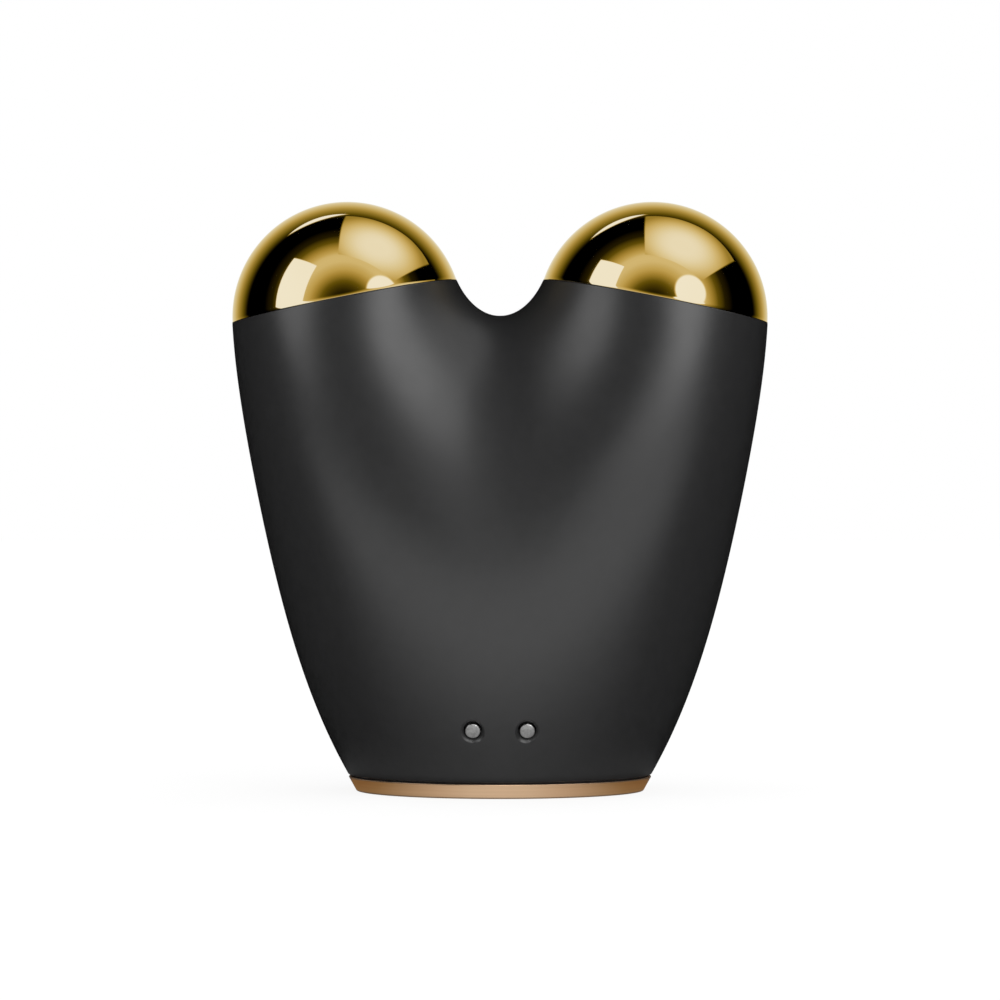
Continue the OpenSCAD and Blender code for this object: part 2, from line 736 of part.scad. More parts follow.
module wire(route, steps, r) {
    rings = [for (j = [0 : steps]) let (
        o = bezier(route, j / steps),
        d = unit(slope_of(route, j / steps)),
        e = unit(cross(d, [1, 0, 0])),
        f = cross(d, e)
    ) each [for (k = [0 : wire_sides - 1])
        o + r * cos(360 * k / wire_sides) * e + r * sin(360 * k / wire_sides) * f]];
    n = wire_sides;
    polyhedron(points = rings, convexity = 6, faces = concat(
        [[for (k = [0 : n - 1]) k]],
        [[for (k = [n - 1 : -1 : 0]) steps * n + k]],
        [for (j = [0 : steps - 1], k = [0 : n - 1]) each [
            [j * n + k, (j + 1) * n + k, j * n + (k + 1) % n],
            [j * n + (k + 1) % n, (j + 1) * n + k, (j + 1) * n + (k + 1) % n]]]));
}

// From the solder tag's tail, down through the arm and behind the board's upper edge
module dome_wire(side) {
    drop = shelf_depth + shelf_t + seat_t + tag_t;
    tail = tag_reach - wire_r - slip;
    x = side * (rim_x - tail * cos(rim_lean) - drop * sin(rim_lean));
    z = rim_z + tail * sin(rim_lean) - drop * cos(rim_lean);
    axis = [-side * sin(rim_lean), 0, -cos(rim_lean)];
    pad = [x, board_y - board_t, board_z1 - over];
    color(side == left ? [0.75, 0.1, 0.1] : [0.1, 0.1, 0.1])
        wire([[x, 0, z], [x, 0, z] + dome_lead_drop * axis, pad - [0, dome_lead_reach, 0], pad],
            12, wire_r);
}

// ---- Power button and its switch ----

module power_button() {
    neck_y = button_seat_y - button_flange_t - running;
    crown_r = (button_r * button_r + button_crown * button_crown) / (2 * button_crown);
    color([0.22, 0.22, 0.24])
        difference() {
            union() {
                translate([0, button_y - crown_r, button_z])
                    rotate([-90, 0, 0])
                        rotate_extrude()
                            intersection() {
                                circle(r = crown_r, $fn = 360);
                                translate([0, crown_r - button_y + neck_y])
                                    square([button_r, crown_r]);
                            }
                along_y(0, neck_y, button_z, button_flange_r, button_flange_t);
                along_y(0, plunger_y + screw_fit, button_z, button_stem_r,
                    neck_y - plunger_y - screw_fit + over / 2);
            }
            translate([0, ring_y - running, button_z])
                rotate([-90, 0, 0])
                    ring(button_r + over, ring_in_r - ring_gap, button_ring_t + 2 * running);
        }
}

module button_o_ring() {
    color([0.05, 0.05, 0.05])
        translate([0, ring_y + button_ring_t / 2, button_z])
            rotate([-90, 0, 0])
                rotate_extrude()
                    translate([ring_in_r + button_ring_t / 2, 0])
                        circle(d = button_ring_t, $fn = 24);
}

module switch_body() {
    color([0.15, 0.15, 0.15])
        difference() {
            block(0, board_y, button_z, switch_w, switch_h, switch_w);
            along_y(0, board_y + switch_h - plunger_h, button_z, plunger_r + running, plunger_h + over);
        }
}

module switch_plunger() {
    start_y = board_y + switch_h - plunger_h + button_travel + screw_fit;
    color([0.85, 0.85, 0.8])
        along_y(0, start_y, button_z, plunger_r, plunger_y - start_y);
}

module light_pipe() {
    color([0.9, 0.9, 0.92])
        union() {
            for (k = [-1 : 1])
                along_y(k * window_pitch, board_y + led_h + slip, window_z, window_r,
                    face_y(k * window_pitch, window_z + window_r) - 2 * slip
                    - board_y - led_h);
            block(0, board_y + pipe_bar_y, window_z, 2 * window_pitch + 2 * window_r, pipe_bar_t,
                2 * window_r);
        }
}

module status_leds() {
    color([0.95, 0.95, 0.85])
        for (k = [-1 : 1])
            block(k * window_pitch, board_y, window_z, led_w, led_h, led_w);
}

// ---- Board and what is on it ----

module circuit_board() {
    color([0.1, 0.35, 0.2])
        translate([0, board_y, 0])
            rotate([90, 0, 0])
                linear_extrude(height = board_t)
                    difference() {
                        polygon([[-board_half_w, board_z1], [-board_half_w, board_z0],
                            [-tongue_half_w, board_z0], [-tongue_half_w, tongue_z],
                            [tongue_half_w, tongue_z], [tongue_half_w, board_z0],
                            [board_half_w, board_z0], [board_half_w, board_z1]]);
                        for (x = [-chassis_screw_x, chassis_screw_x],
                            z = [chassis_screw_z0, chassis_screw_z1])
                            translate([x, z])
                                circle(r = screw_r + slip);
                    }
}

module controller_chip() {
    color([0.08, 0.08, 0.08])
        block(-parts_x, board_y, chips_z, chip_w, chip_t, chip_w);
}

module charger_chip() {
    color([0.08, 0.08, 0.08])
        block(-parts_x, board_y, charger_z, charger_w, chip_t, charger_w);
}

module boost_inductor() {
    color([0.25, 0.25, 0.27])
        block(parts_x, board_y, chips_z, inductor_w, inductor_h, inductor_w);
}

module output_transformer() {
    color([0.5, 0.35, 0.2])
        block(0, board_y, window_z + transformer_rise, transformer_w, transformer_h, transformer_d);
}

module board_capacitors() {
    color([0.75, 0.65, 0.45])
        for (k = [0 : 3])
            block(parts_x, board_y, board_z0 + capacitor_rise + k * capacitor_pitch, capacitor_l,
                capacitor_w, capacitor_w);
}

module buzzer() {
    color([0.1, 0.1, 0.1])
        along_y(0, board_y, board_z0 + buzzer_r + slip, buzzer_r, buzzer_h);
}

module battery_connector() {
    color([0.93, 0.92, 0.88])
        block(0, board_y - board_t - plug_d, tongue_z + plug_rise, plug_w, plug_d, plug_h);
}

// ---- Chassis and battery ----

module chassis() {
    pocket_w = battery_w + 2 * slip;
    pocket_h = battery_h + 2 * slip;
    color([0.85, 0.85, 0.83])
        difference() {
            union() {
                block(0, chassis_y - chassis_t, (board_z0 + chassis_z1) / 2, 2 * board_half_w,
                    chassis_t, chassis_z1 - board_z0);
                block(0, chassis_y - chassis_t - pocket_depth, battery_z + battery_h / 2,
                    pocket_w + 2 * pocket_wall, pocket_depth, pocket_h + 2 * pocket_wall);
                for (x = [-chassis_screw_x, chassis_screw_x], z = [chassis_screw_z0, chassis_screw_z1])
                    along_y(x, chassis_y - chassis_t, z, boss_r, chassis_t + chassis_gap);
            }
            block(0, chassis_y - chassis_t - pocket_depth - over, battery_z + battery_h / 2,
                pocket_w, pocket_depth + over, pocket_h);
            for (x = [-chassis_screw_x, chassis_screw_x], z = [chassis_screw_z0, chassis_screw_z1])
                along_y(x, chassis_y - chassis_t - over, z, screw_r + slip,
                    chassis_t + chassis_gap + 2 * over);
        }
}

module chassis_screws() {
    color([0.6, 0.6, 0.62])
        for (x = [-chassis_screw_x, chassis_screw_x], z = [chassis_screw_z0, chassis_screw_z1]) {
            along_y(x, chassis_y - chassis_t, z, screw_r, chassis_screw_l);
            along_y(x, chassis_y - chassis_t - screw_head_h, z, screw_head_r, screw_head_h);
        }
}

module battery() {
    color([0.7, 0.72, 0.75])
        block(0, battery_y - battery_t, battery_z + battery_h / 2, battery_w, battery_t, battery_h);
}

module battery_pad() {
    color([0.3, 0.3, 0.3])
        block(0, battery_y, battery_z + battery_h / 2, battery_w - 2 * foam_inset, foam_t,
            battery_h - 2 * foam_inset);
}

module battery_wires() {
    for (side = [left, right]) {
        start = [side * lead_pitch / 2, battery_y - battery_t + lead_pitch / 2, battery_z];
        plug = [side * lead_pitch / 2, board_y - board_t - plug_d, tongue_z + plug_rise];
        color(side == left ? [0.75, 0.1, 0.1] : [0.1, 0.1, 0.1])
            wire([start, start - [0, 0, battery_lead_drop], plug - [0, battery_lead_reach, 0], plug],
                10, wire_r);
    }
}

// ---- Charging contacts ----

module contact_carrier() {
    color([0.12, 0.12, 0.13])
        at_contacts()
            difference() {
                translate([-carrier_half_w, carrier_depth, -carrier_down])
                    cube([2 * carrier_half_w, carrier_t, carrier_down + carrier_up]);
                for (side = [left, right]) {
                    along_y(side * contact_pitch / 2, 0, 0, pin_tail_r + screw_fit,
                        carrier_depth + carrier_t + over);
                    along_y(side * contact_pitch / 2, 0, 0, pin_flange_r + screw_fit,
                        carrier_depth + carrier_t / 2);
                    along_y(side * (magnet_r + magnet_gap / 2), carrier_depth + carrier_t - magnet_t,
                        carrier_up - magnet_r - magnet_edge, magnet_r + screw_fit, magnet_t + over);
                }
            }
}

module charge_pin(side) {
    x = side * contact_pitch / 2;
    flange_y = carrier_depth + carrier_t / 4;
    color([0.8, 0.78, 0.72])
        at_contacts()
            union() {
                along_y(x, slip, 0, contact_r, flange_y);
                along_y(x, flange_y, 0, pin_flange_r, carrier_t / 4);
                along_y(x, flange_y, 0, pin_tail_r, 0.75 * carrier_t + pin_tail_l);
            }
}

module pin_seal(side) {
    color([0.05, 0.05, 0.05])
        at_contacts()
            translate([side * contact_pitch / 2, carrier_depth, 0])
                rotate([-90, 0, 0])
                    ring(pin_flange_r, contact_r + screw_fit, carrier_t / 4);
}

module charge_magnets() {
    color([0.65, 0.65, 0.68])
        at_contacts()
            for (side = [left, right])
                along_y(side * (magnet_r + magnet_gap / 2), carrier_depth + carrier_t - magnet_t,
                    carrier_up - magnet_r - magnet_edge, magnet_r, magnet_t);
}

// From a charging pin's tail, under the battery, to the board's tongue
module charge_wire(side) {
    x = side * contact_pitch / 2;
    tail = carrier_depth + carrier_t + pin_tail_l;
    start = [x, -contact_y + tail * cos(contact_slope), contact_z + tail * sin(contact_slope)];
    axis = [0, cos(contact_slope), sin(contact_slope)];
    pad = [side * (tongue_half_w - 2 * wire_r), board_y - board_t, board_z0 - charge_lead_start];
    under = [x, start[1] + charge_lead_bend, battery_z - charge_lead_bend];
    color(side == left ? [0.75, 0.1, 0.1] : [0.1, 0.1, 0.1])
        wire([start, start + charge_lead_start * axis, under, pad - [0, charge_lead_bend, 0], pad],
            12, wire_r);
}

front_shell();
rear_shell();
base_trim();
base_cap();
base_seal();
base_screws();
base_pad();
dome(left);  // dome_left
dome(right);  // dome_right
dome_gasket(left);  // dome_gasket_left
dome_gasket(right);  // dome_gasket_right
dome_seat(left);  // dome_seat_left
dome_seat(right);  // dome_seat_right
dome_nut(left);  // dome_nut_left
dome_nut(right);  // dome_nut_right
solder_tag(left);  // solder_tag_left
solder_tag(right);  // solder_tag_right
dome_wire(left);  // dome_wire_left
dome_wire(right);  // dome_wire_right
power_button();
button_o_ring();
switch_body();
switch_plunger();
light_pipe();
status_leds();
circuit_board();
controller_chip();
charger_chip();
output_transformer();
boost_inductor();
board_capacitors();
buzzer();
battery_connector();
chassis();
chassis_screws();
battery();
battery_pad();
battery_wires();
contact_carrier();
charge_pin(left);  // charge_pin_left
charge_pin(right);  // charge_pin_right
pin_seal(left);  // pin_seal_left
pin_seal(right);  // pin_seal_right
charge_magnets();
charge_wire(left);  // charge_wire_left
charge_wire(right);  // charge_wire_right
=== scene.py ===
import json
from math import acos, atan, atan2, cos, hypot, pi, radians, sin, sqrt, tan

import bmesh
import bpy
from mathutils import Matrix, Vector

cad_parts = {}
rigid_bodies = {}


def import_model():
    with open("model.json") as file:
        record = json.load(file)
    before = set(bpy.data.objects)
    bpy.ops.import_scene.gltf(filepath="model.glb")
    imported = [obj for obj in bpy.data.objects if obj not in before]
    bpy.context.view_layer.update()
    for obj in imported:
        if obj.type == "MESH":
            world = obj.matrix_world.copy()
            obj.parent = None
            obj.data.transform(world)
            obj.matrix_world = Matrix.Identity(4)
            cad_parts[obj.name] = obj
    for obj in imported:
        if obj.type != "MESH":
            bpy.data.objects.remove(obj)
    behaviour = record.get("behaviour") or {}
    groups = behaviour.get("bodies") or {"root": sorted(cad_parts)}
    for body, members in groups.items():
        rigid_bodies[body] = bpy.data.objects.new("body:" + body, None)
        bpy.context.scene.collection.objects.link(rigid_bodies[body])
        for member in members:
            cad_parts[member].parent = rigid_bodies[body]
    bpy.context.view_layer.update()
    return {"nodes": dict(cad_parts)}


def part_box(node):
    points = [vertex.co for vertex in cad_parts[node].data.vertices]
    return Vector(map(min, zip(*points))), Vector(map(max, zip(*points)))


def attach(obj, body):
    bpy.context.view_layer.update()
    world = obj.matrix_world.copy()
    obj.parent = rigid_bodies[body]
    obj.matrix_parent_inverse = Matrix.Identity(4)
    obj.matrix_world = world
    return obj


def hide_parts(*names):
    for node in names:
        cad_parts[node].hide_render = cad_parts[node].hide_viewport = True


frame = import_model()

MM = 0.001
LEFT, RIGHT = -1, 1

# ---- Camera ----
# A long lens stands a little above the middle of the device and looks squarely at its rear, where
# the charging contacts are.

CAMERA_DISTANCE = 396 * MM
FRAME_WIDTH = 104.35 * MM
CAMERA_HEIGHT = 32.8 * MM
AIM_HEIGHT = 30.26 * MM

camera_data = bpy.data.cameras.new("camera")
camera_data.sensor_width = 36
camera_data.lens = camera_data.sensor_width * CAMERA_DISTANCE / FRAME_WIDTH
camera_data.clip_start = 0.01
camera = bpy.data.objects.new("camera", camera_data)
camera.location = (0, -CAMERA_DISTANCE, CAMERA_HEIGHT)
camera.rotation_euler = (pi / 2 - atan((CAMERA_HEIGHT - AIM_HEIGHT) / CAMERA_DISTANCE), 0, 0)
bpy.context.scene.collection.objects.link(camera)
bpy.context.scene.camera = camera
bpy.context.scene.view_settings.view_transform = "Standard"

# ---- Housing ----
# Two moulded halves, front and rear, meet on a hairline seam that runs up the sides, over the
# rims and through the saddle between the arms. Black ABS under a soft-touch coat, with shallow
# dishes round the charging contacts and the power button.

BAND_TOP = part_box("base_seal")[1].z
BASE_HALF_WIDTH = 15.8 * MM
BASE_HALF_DEPTH = 12.2 * MM
RIM_HEIGHT = 50.92 * MM
RIM_OFFSET = 16.2 * MM
RIM_RADIUS = 11.92 * MM
RIM_LEAN = radians(11)
HOUSING_WALL = 1.3 * MM
RIM_ROUNDING = 0.12 * MM
FOOT_ROUNDING = 0.12 * MM
SEAM_ROUNDING = 0.07 * MM
SIDE_CURVE = [BASE_HALF_WIDTH, 22.8 * MM, 23.9 * MM, 27.3 * MM, RIM_OFFSET + RIM_RADIUS * cos(RIM_LEAN)]
DEPTH_CURVE = [BASE_HALF_DEPTH, 15.8 * MM, 20.6 * MM, 16.75 * MM, 14.95 * MM, RIM_RADIUS]
INNER_CURVE = [-BASE_HALF_WIDTH, -17.8 * MM, -27.2 * MM, -5.9 * MM, 0.8 * MM, 7 * MM,
               RIM_OFFSET - RIM_RADIUS * cos(RIM_LEAN)]
VALLEY_CURVE = [0, 4.45 * MM, 3.3 * MM, 18.9 * MM, 19.6 * MM]
COLUMNS, LOWER_ROWS, UPPER_ROWS = 64, 92, 36
PARTING_RANGE = (0.6, 0.999)
HALVINGS = 40
FACE_STEPS = 12
END_MARGIN = 0.0001
WELD = 1e-7
SKIN_WELD = 1e-6
ON_PLANE = 2e-6
SHARP_EDGE = radians(40)


def bezier(handles, t):
    """A Bezier curve's value. t runs from 0 at the lower edge to 1 at the rims."""
    points = list(handles)
    while len(points) > 1:
        points = [a * (1 - t) + b * t for a, b in zip(points, points[1:])]
    return points[0]


def valley_at(t):
    """How softly the two arms run together at share t of the height."""
    return bezier(VALLEY_CURVE, t) * sqrt(max(0, 1 - t))


def parting_share():
    """The share of the height at which the two arms part, found by halving."""
    low, high = PARTING_RANGE
    for _ in range(HALVINGS):
        middle = (low + high) / 2
        if bezier(INNER_CURVE, middle) < valley_at(middle):
            low = middle
        else:
            high = middle
    return high


SADDLE = parting_share()


def skin_point(t, u, open_arms):
    """A point of the rear right quarter. u is 0 at the side and 1 at the middle or the saddle's wall."""
    outer, inner, valley = bezier(SIDE_CURVE, t), bezier(INNER_CURVE, t), valley_at(t)
    centre, half = (outer + inner) / 2, (outer - inner) / 2
    turn = pi if open_arms else acos(max(-1, min(1, (valley - centre) / half)))
    reach = centre + half * cos(u * turn)
    slack = 1 - 2 * valley ** 2 / outer ** 2
    rest = max(0, reach ** 2 - valley ** 2)
    x = sqrt(2 * rest / (slack + sqrt(slack ** 2 + 4 * rest * valley ** 2 / outer ** 4)))
    y = -bezier(DEPTH_CURVE, t) * sin(u * turn)
    z = BAND_TOP + t * (RIM_HEIGHT - BAND_TOP) - tan(RIM_LEAN) * t ** 2 * (reach - RIM_OFFSET)
    in_middle = u > 1 - END_MARGIN and not open_arms
    on_seam = u < END_MARGIN or (u > 1 - END_MARGIN and turn > pi - END_MARGIN)
    return Vector((0 if in_middle else x, 0 if on_seam else y, z))


def face_depth(x, z):
    """Half depth of the outside at a place of the front or rear, found by stepping to its section."""
    t = 0.5
    for _ in range(FACE_STEPS):
        outer, valley = bezier(SIDE_CURVE, t), valley_at(t)
        reach = hypot(x, valley * (1 - x ** 2 / outer ** 2))
        level = z + tan(RIM_LEAN) * t ** 2 * (reach - RIM_OFFSET)
        t = max(0, min(1, (level - BAND_TOP) / (RIM_HEIGHT - BAND_TOP)))
    outer, inner, valley = bezier(SIDE_CURVE, t), bezier(INNER_CURVE, t), valley_at(t)
    reach = hypot(x, valley * (1 - x ** 2 / outer ** 2))
    share = (reach - (outer + inner) / 2) / ((outer - inner) / 2)
    return bezier(DEPTH_CURVE, t) * sqrt(max(0, 1 - share ** 2))


def on_rear(x, z):
    """The rear skin's point at a place."""
    return Vector((x, -face_depth(x, z), z))


def grow_skin():
    """The rear half's outer skin: a square grid is bent onto one quarter, then mirrored."""
    bm = bmesh.new()
    rows = LOWER_ROWS + UPPER_ROWS
    bmesh.ops.create_grid(bm, x_segments=COLUMNS, y_segments=rows, size=0.5)
    for vert in bm.verts:
        row = round((vert.co.y + 0.5) * rows)
        if row <= LOWER_ROWS:
            t = SADDLE * sin(pi / 2 * row / LOWER_ROWS)
        else:
            t = SADDLE + (1 - SADDLE) * ((row - LOWER_ROWS) / UPPER_ROWS) ** 2
        vert.co = skin_point(t, vert.co.x + 0.5, row > LOWER_ROWS)
    bmesh.ops.mirror(bm, geom=bm.verts[:] + bm.edges[:] + bm.faces[:], axis="X", merge_dist=WELD)
    bmesh.ops.remove_doubles(bm, verts=bm.verts[:], dist=SKIN_WELD)
    bmesh.ops.recalc_face_normals(bm, faces=bm.faces[:])
    rearmost = min(bm.faces, key=lambda face: face.calc_center_median().y)
    if rearmost.normal.y > 0:
        bmesh.ops.reverse_faces(bm, faces=bm.faces[:])
    return bm


def refine(bm, places, cuts):
    """Divides the skin's faces round some places, and sets the new points on the true outside."""
    def is_near(point):
        return any((point - centre).length < reach for centre, reach in places)
    edges = {edge for face in bm.faces if is_near(face.calc_center_median()) for edge in face.edges}
    bmesh.ops.subdivide_edges(bm, edges=list(edges), cuts=cuts, use_grid_fill=True)
    for vert in bm.verts:
        if is_near(vert.co):
            vert.co.y = -face_depth(vert.co.x, vert.co.z)


def press_dish(bm, centre, inward, floor_radius, edge_radius, depth):
    """Sinks a round, soft-edged dish with a flat floor into the skin."""
    for vert in bm.verts:
        along = (vert.co - centre).dot(inward)
        away = (vert.co - centre - along * inward).length
        if away < edge_radius and abs(along) < edge_radius:
            share = min(1, (edge_radius - away) / (edge_radius - floor_radius))
            vert.co += inward * share ** 2 * (3 - 2 * share) * (depth - along)


def edge_planes(point):
    """The normals of the housing's edge planes that a point lies on: the seam, the foot and a rim."""
    side = LEFT if point.x < 0 else RIGHT
    rim_normal = Vector((side * sin(RIM_LEAN), 0, cos(RIM_LEAN)))
    found = []
    if abs(point.y) < ON_PLANE:
        found.append(Vector((0, 1, 0)))
    if abs(point.z - BAND_TOP) < ON_PLANE:
        found.append(Vector((0, 0, 1)))
    if abs((point - Vector((side * RIM_OFFSET, 0, RIM_HEIGHT))).dot(rim_normal)) < ON_PLANE:
        found.append(rim_normal)
    return found


def thicken(bm):
    """Gives the skin its wall: a copy moves inwards, is turned over and is joined along the edge."""
    bm.normal_update()
    skin, skin_edges = bm.verts[:], [edge for edge in bm.edges if edge.is_boundary]
    copied = bmesh.ops.duplicate(bm, geom=bm.verts[:] + bm.edges[:] + bm.faces[:])
    lining = [item for item in copied["geom"] if isinstance(item, bmesh.types.BMFace)]
    for vert in skin:
        inward = -vert.normal
        for plane in edge_planes(vert.co):
            inward -= plane * inward.dot(plane)
        copied["vert_map"][vert].co = vert.co + inward.normalized() * HOUSING_WALL
    bmesh.ops.reverse_faces(bm, faces=lining)
    known = set(skin_edges)
    lining_edges = [edge for edge in bm.edges if edge.is_boundary and edge not in known]
    bmesh.ops.bridge_loops(bm, edges=skin_edges + lining_edges)
    bmesh.ops.recalc_face_normals(bm, faces=bm.faces[:])


def round_edges(bm):
    """Rounds the rims and the lower edge, then breaks the seam's edges."""
    def edges_on(wanted):
        return [edge for edge in bm.edges if edge.calc_face_angle(0) > SHARP_EDGE
                and all(any(wanted(plane) for plane in edge_planes(vert.co)) for vert in edge.verts)]
    for offset, segments, wanted in ((RIM_ROUNDING, 4, lambda plane: 0.5 < plane.z < 0.999),
                                     (FOOT_ROUNDING, 4, lambda plane: plane.z > 0.999),
                                     (SEAM_ROUNDING, 2, lambda plane: plane.y > 0.5)):
        bmesh.ops.bevel(bm, geom=edges_on(wanted), offset=offset, offset_type="OFFSET", segments=segments,
                        profile=0.5, affect="EDGES", material=-1, clamp_overlap=True)


def finish_mesh(name, bm, sharp_angle=radians(35)):
    """Turns a bmesh into a smooth-shaded object at the origin, with creases past the given angle."""
    mesh = bpy.data.meshes.new(name)
    bm.to_mesh(mesh)
    bm.free()
    mesh.shade_smooth()
    mesh.set_sharp_from_angle(angle=sharp_angle)
    piece = bpy.data.objects.new(name, mesh)
    bpy.context.scene.collection.objects.link(piece)
    return piece


def turned(profile, steps=96, place=Matrix.Identity(4)):
    """A turning: the profile's (radius, height) points spun once round the Z axis, then placed."""
    bm = bmesh.new()
    verts = [bm.verts.new((radius, 0, height)) for radius, height in profile]
    edges = [bm.edges.new(pair) for pair in zip(verts, verts[1:])]
    if profile[0][0] > 0:
        edges.append(bm.edges.new((verts[-1], verts[0])))
    bmesh.ops.spin(bm, geom=verts + edges, cent=(0, 0, 0), axis=(0, 0, 1), angle=2 * pi, steps=steps,
                   use_merge=True)
    bmesh.ops.remove_doubles(bm, verts=bm.verts[:], dist=WELD)
    bmesh.ops.recalc_face_normals(bm, faces=bm.faces[:])
    bm.transform(place)
    return bm


DRILL_STEPS = 128
DRILL_CLEARANCE = 3 * MM


def drill(piece, mouth, end, place):
    """Takes a round hole out of a piece. mouth lists (radius, height) points from the bore outwards."""
    top = mouth[-1][1] + DRILL_CLEARANCE
    drill_bit = finish_mesh("drill", turned(
        [(0, end), (mouth[0][0], end)] + mouth + [(mouth[-1][0], top), (0, top)],
        steps=DRILL_STEPS, place=place))
    modifier = piece.modifiers.new("hole", "BOOLEAN")
    modifier.operation = "DIFFERENCE"
    modifier.solver = "EXACT"
    modifier.object = drill_bit
    bpy.context.view_layer.update()
    drilled = bpy.data.meshes.new_from_object(piece.evaluated_get(bpy.context.evaluated_depsgraph_get()))
    piece.modifiers.clear()
    piece.data = drilled
    bpy.data.objects.remove(drill_bit)


def broken_edge(radius, start, edge_break):
    """The mouth of a plain hole whose edge is broken at a height."""
    return [(radius, start - edge_break), (radius + edge_break, start)]


def surface(name, base, roughness, metallic=0.0, specular=0.5):
    """A new material with its node tree and shader."""
    material = bpy.data.materials.new(name)
    material.use_nodes = True
    shader = material.node_tree.nodes["Principled BSDF"]
    shader.inputs["Base Color"].default_value = (*base, 1)
    shader.inputs["Roughness"].default_value = roughness
    shader.inputs["Metallic"].default_value = metallic
    shader.inputs["Specular IOR Level"].default_value = specular
    return material, material.node_tree, shader


def grain(tree, scale, detail=3.0, stretch=(1, 1, 1)):
    """Noise on object coordinates. The scale counts lumps per metre."""
    place = tree.nodes.new("ShaderNodeTexCoord")
    mapping = tree.nodes.new("ShaderNodeMapping")
    mapping.inputs["Scale"].default_value = stretch
    noise = tree.nodes.new("ShaderNodeTexNoise")
    noise.inputs["Scale"].default_value = scale
    noise.inputs["Detail"].default_value = detail
    tree.links.new(place.outputs["Object"], mapping.inputs["Vector"])
    tree.links.new(mapping.outputs["Vector"], noise.inputs["Vector"])
    return noise.outputs["Fac"]


def vary(tree, factor, low, high, socket):
    """Drives a number of the shader between two values."""
    ramp = tree.nodes.new("ShaderNodeMapRange")
    ramp.inputs["From Min"].default_value = 0.3
    ramp.inputs["From Max"].default_value = 0.7
    ramp.inputs["To Min"].default_value = low
    ramp.inputs["To Max"].default_value = high
    tree.links.new(factor, ramp.inputs["Value"])
    tree.links.new(ramp.outputs["Result"], socket)


def tint(tree, factor, dark, light, socket):
    """Drives a colour of the shader between two tones."""
    ramp = tree.nodes.new("ShaderNodeValToRGB")
    ramp.color_ramp.elements[0].position = 0.3
    ramp.color_ramp.elements[0].color = (*dark, 1)
    ramp.color_ramp.elements[1].position = 0.7
    ramp.color_ramp.elements[1].color = (*light, 1)
    tree.links.new(factor, ramp.inputs["Fac"])
    tree.links.new(ramp.outputs["Color"], socket)


def emboss(tree, factor, shader, depth, strength=1.0):
    """Bumps the surface by a height in metres."""
    bump = tree.nodes.new("ShaderNodeBump")
    bump.inputs["Strength"].default_value = strength
    bump.inputs["Distance"].default_value = depth
    tree.links.new(factor, bump.inputs["Height"])
    tree.links.new(bump.outputs["Normal"], shader.inputs["Normal"])


soft_touch, tree, shader = surface("soft_touch_coat", (0.0155, 0.0155, 0.016), 0.36, specular=1.0)
tint(tree, grain(tree, 900), (0.0145, 0.0145, 0.015), (0.0165, 0.0165, 0.017), shader.inputs["Base Color"])
vary(tree, grain(tree, 350, detail=5), 0.345, 0.375, shader.inputs["Roughness"])
emboss(tree, grain(tree, 16000, detail=2), shader, 0.004 * MM, 0.35)

CONTACT_HEIGHT = 7 * MM
CONTACT_OFFSET = 2.75 * MM
CONTACT_BORE = 0.9 * MM
CONTACT_BORE_START = -0.55 * MM
CONTACT_BORE_BREAK = 0.01 * MM
CONTACT_BORE_END = -2.6 * MM
CONTACT_DISH = [(CONTACT_BORE, -0.38 * MM), (0.93 * MM, -0.35 * MM), (0.97 * MM, -0.31 * MM),
                (1.07 * MM, -0.19 * MM), (1.18 * MM, -0.08 * MM), (1.26 * MM, -0.02 * MM),
                (1.31 * MM, 0.01 * MM), (1.4 * MM, 0.04 * MM), (1.9 * MM, 0.2 * MM)]
CONTACT_DISH_END = -0.6 * MM
CONTACT_SURROUND = 2.1 * MM
REFINE_CUTS = 3
HOUSING_CREASE = radians(26)
contact_tilt = atan((face_depth(0, CONTACT_HEIGHT + MM) - face_depth(0, CONTACT_HEIGHT - MM)) / (2 * MM))
contact_splay = atan((face_depth(CONTACT_OFFSET - MM, CONTACT_HEIGHT)
                      - face_depth(CONTACT_OFFSET + MM, CONTACT_HEIGHT)) / (2 * MM))
contact_level = face_depth(CONTACT_OFFSET, CONTACT_HEIGHT)
contact_turn = Matrix.Rotation(pi / 2 + contact_tilt, 4, "X")
contact_places = {
    side: Matrix.Translation((side * CONTACT_OFFSET, -contact_level, CONTACT_HEIGHT)) @ contact_turn
    for side in (LEFT, RIGHT)}

rear_skin = grow_skin()
refine(rear_skin, [(place.translation, CONTACT_SURROUND) for place in contact_places.values()],
       cuts=REFINE_CUTS)
thicken(rear_skin)
round_edges(rear_skin)
rear_housing = finish_mesh("rear_housing", rear_skin)
for side, place in contact_places.items():
    drill(rear_housing, CONTACT_DISH, CONTACT_DISH_END,
          place @ Matrix.Rotation(side * contact_splay, 4, "Y"))
    drill(rear_housing, broken_edge(CONTACT_BORE, CONTACT_BORE_START, CONTACT_BORE_BREAK),
          CONTACT_BORE_END, place)

BUTTON_RADIUS = 5.95 * MM
BUTTON_DISH_FLOOR = 6.3 * MM
BUTTON_DISH_EDGE = 7.4 * MM
BUTTON_DISH_DEPTH = 0.9 * MM
BUTTON_SURROUND = 8.3 * MM
BUTTON_PLAY = 0.1 * MM
BUTTON_HOLE_BREAK = 0.12 * MM
BUTTON_HOLE_END = -3.5 * MM
WINDOW_PITCH = 3.4 * MM
WINDOW_RADIUS = 0.74 * MM
WINDOW_START = -0.02 * MM
WINDOW_BREAK = 0.06 * MM
WINDOW_END = -3 * MM
WINDOW_SURROUND = 1.6 * MM
window_offsets = [k * WINDOW_PITCH for k in (-1, 0, 1)]
button_low, button_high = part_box("power_button")
button_height = (button_low.z + button_high.z) / 2
window_low, window_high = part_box("light_pipe")
window_height = (window_low.z + window_high.z) / 2
OUT_OF_FRONT = Matrix.Rotation(-pi / 2, 4, "X")

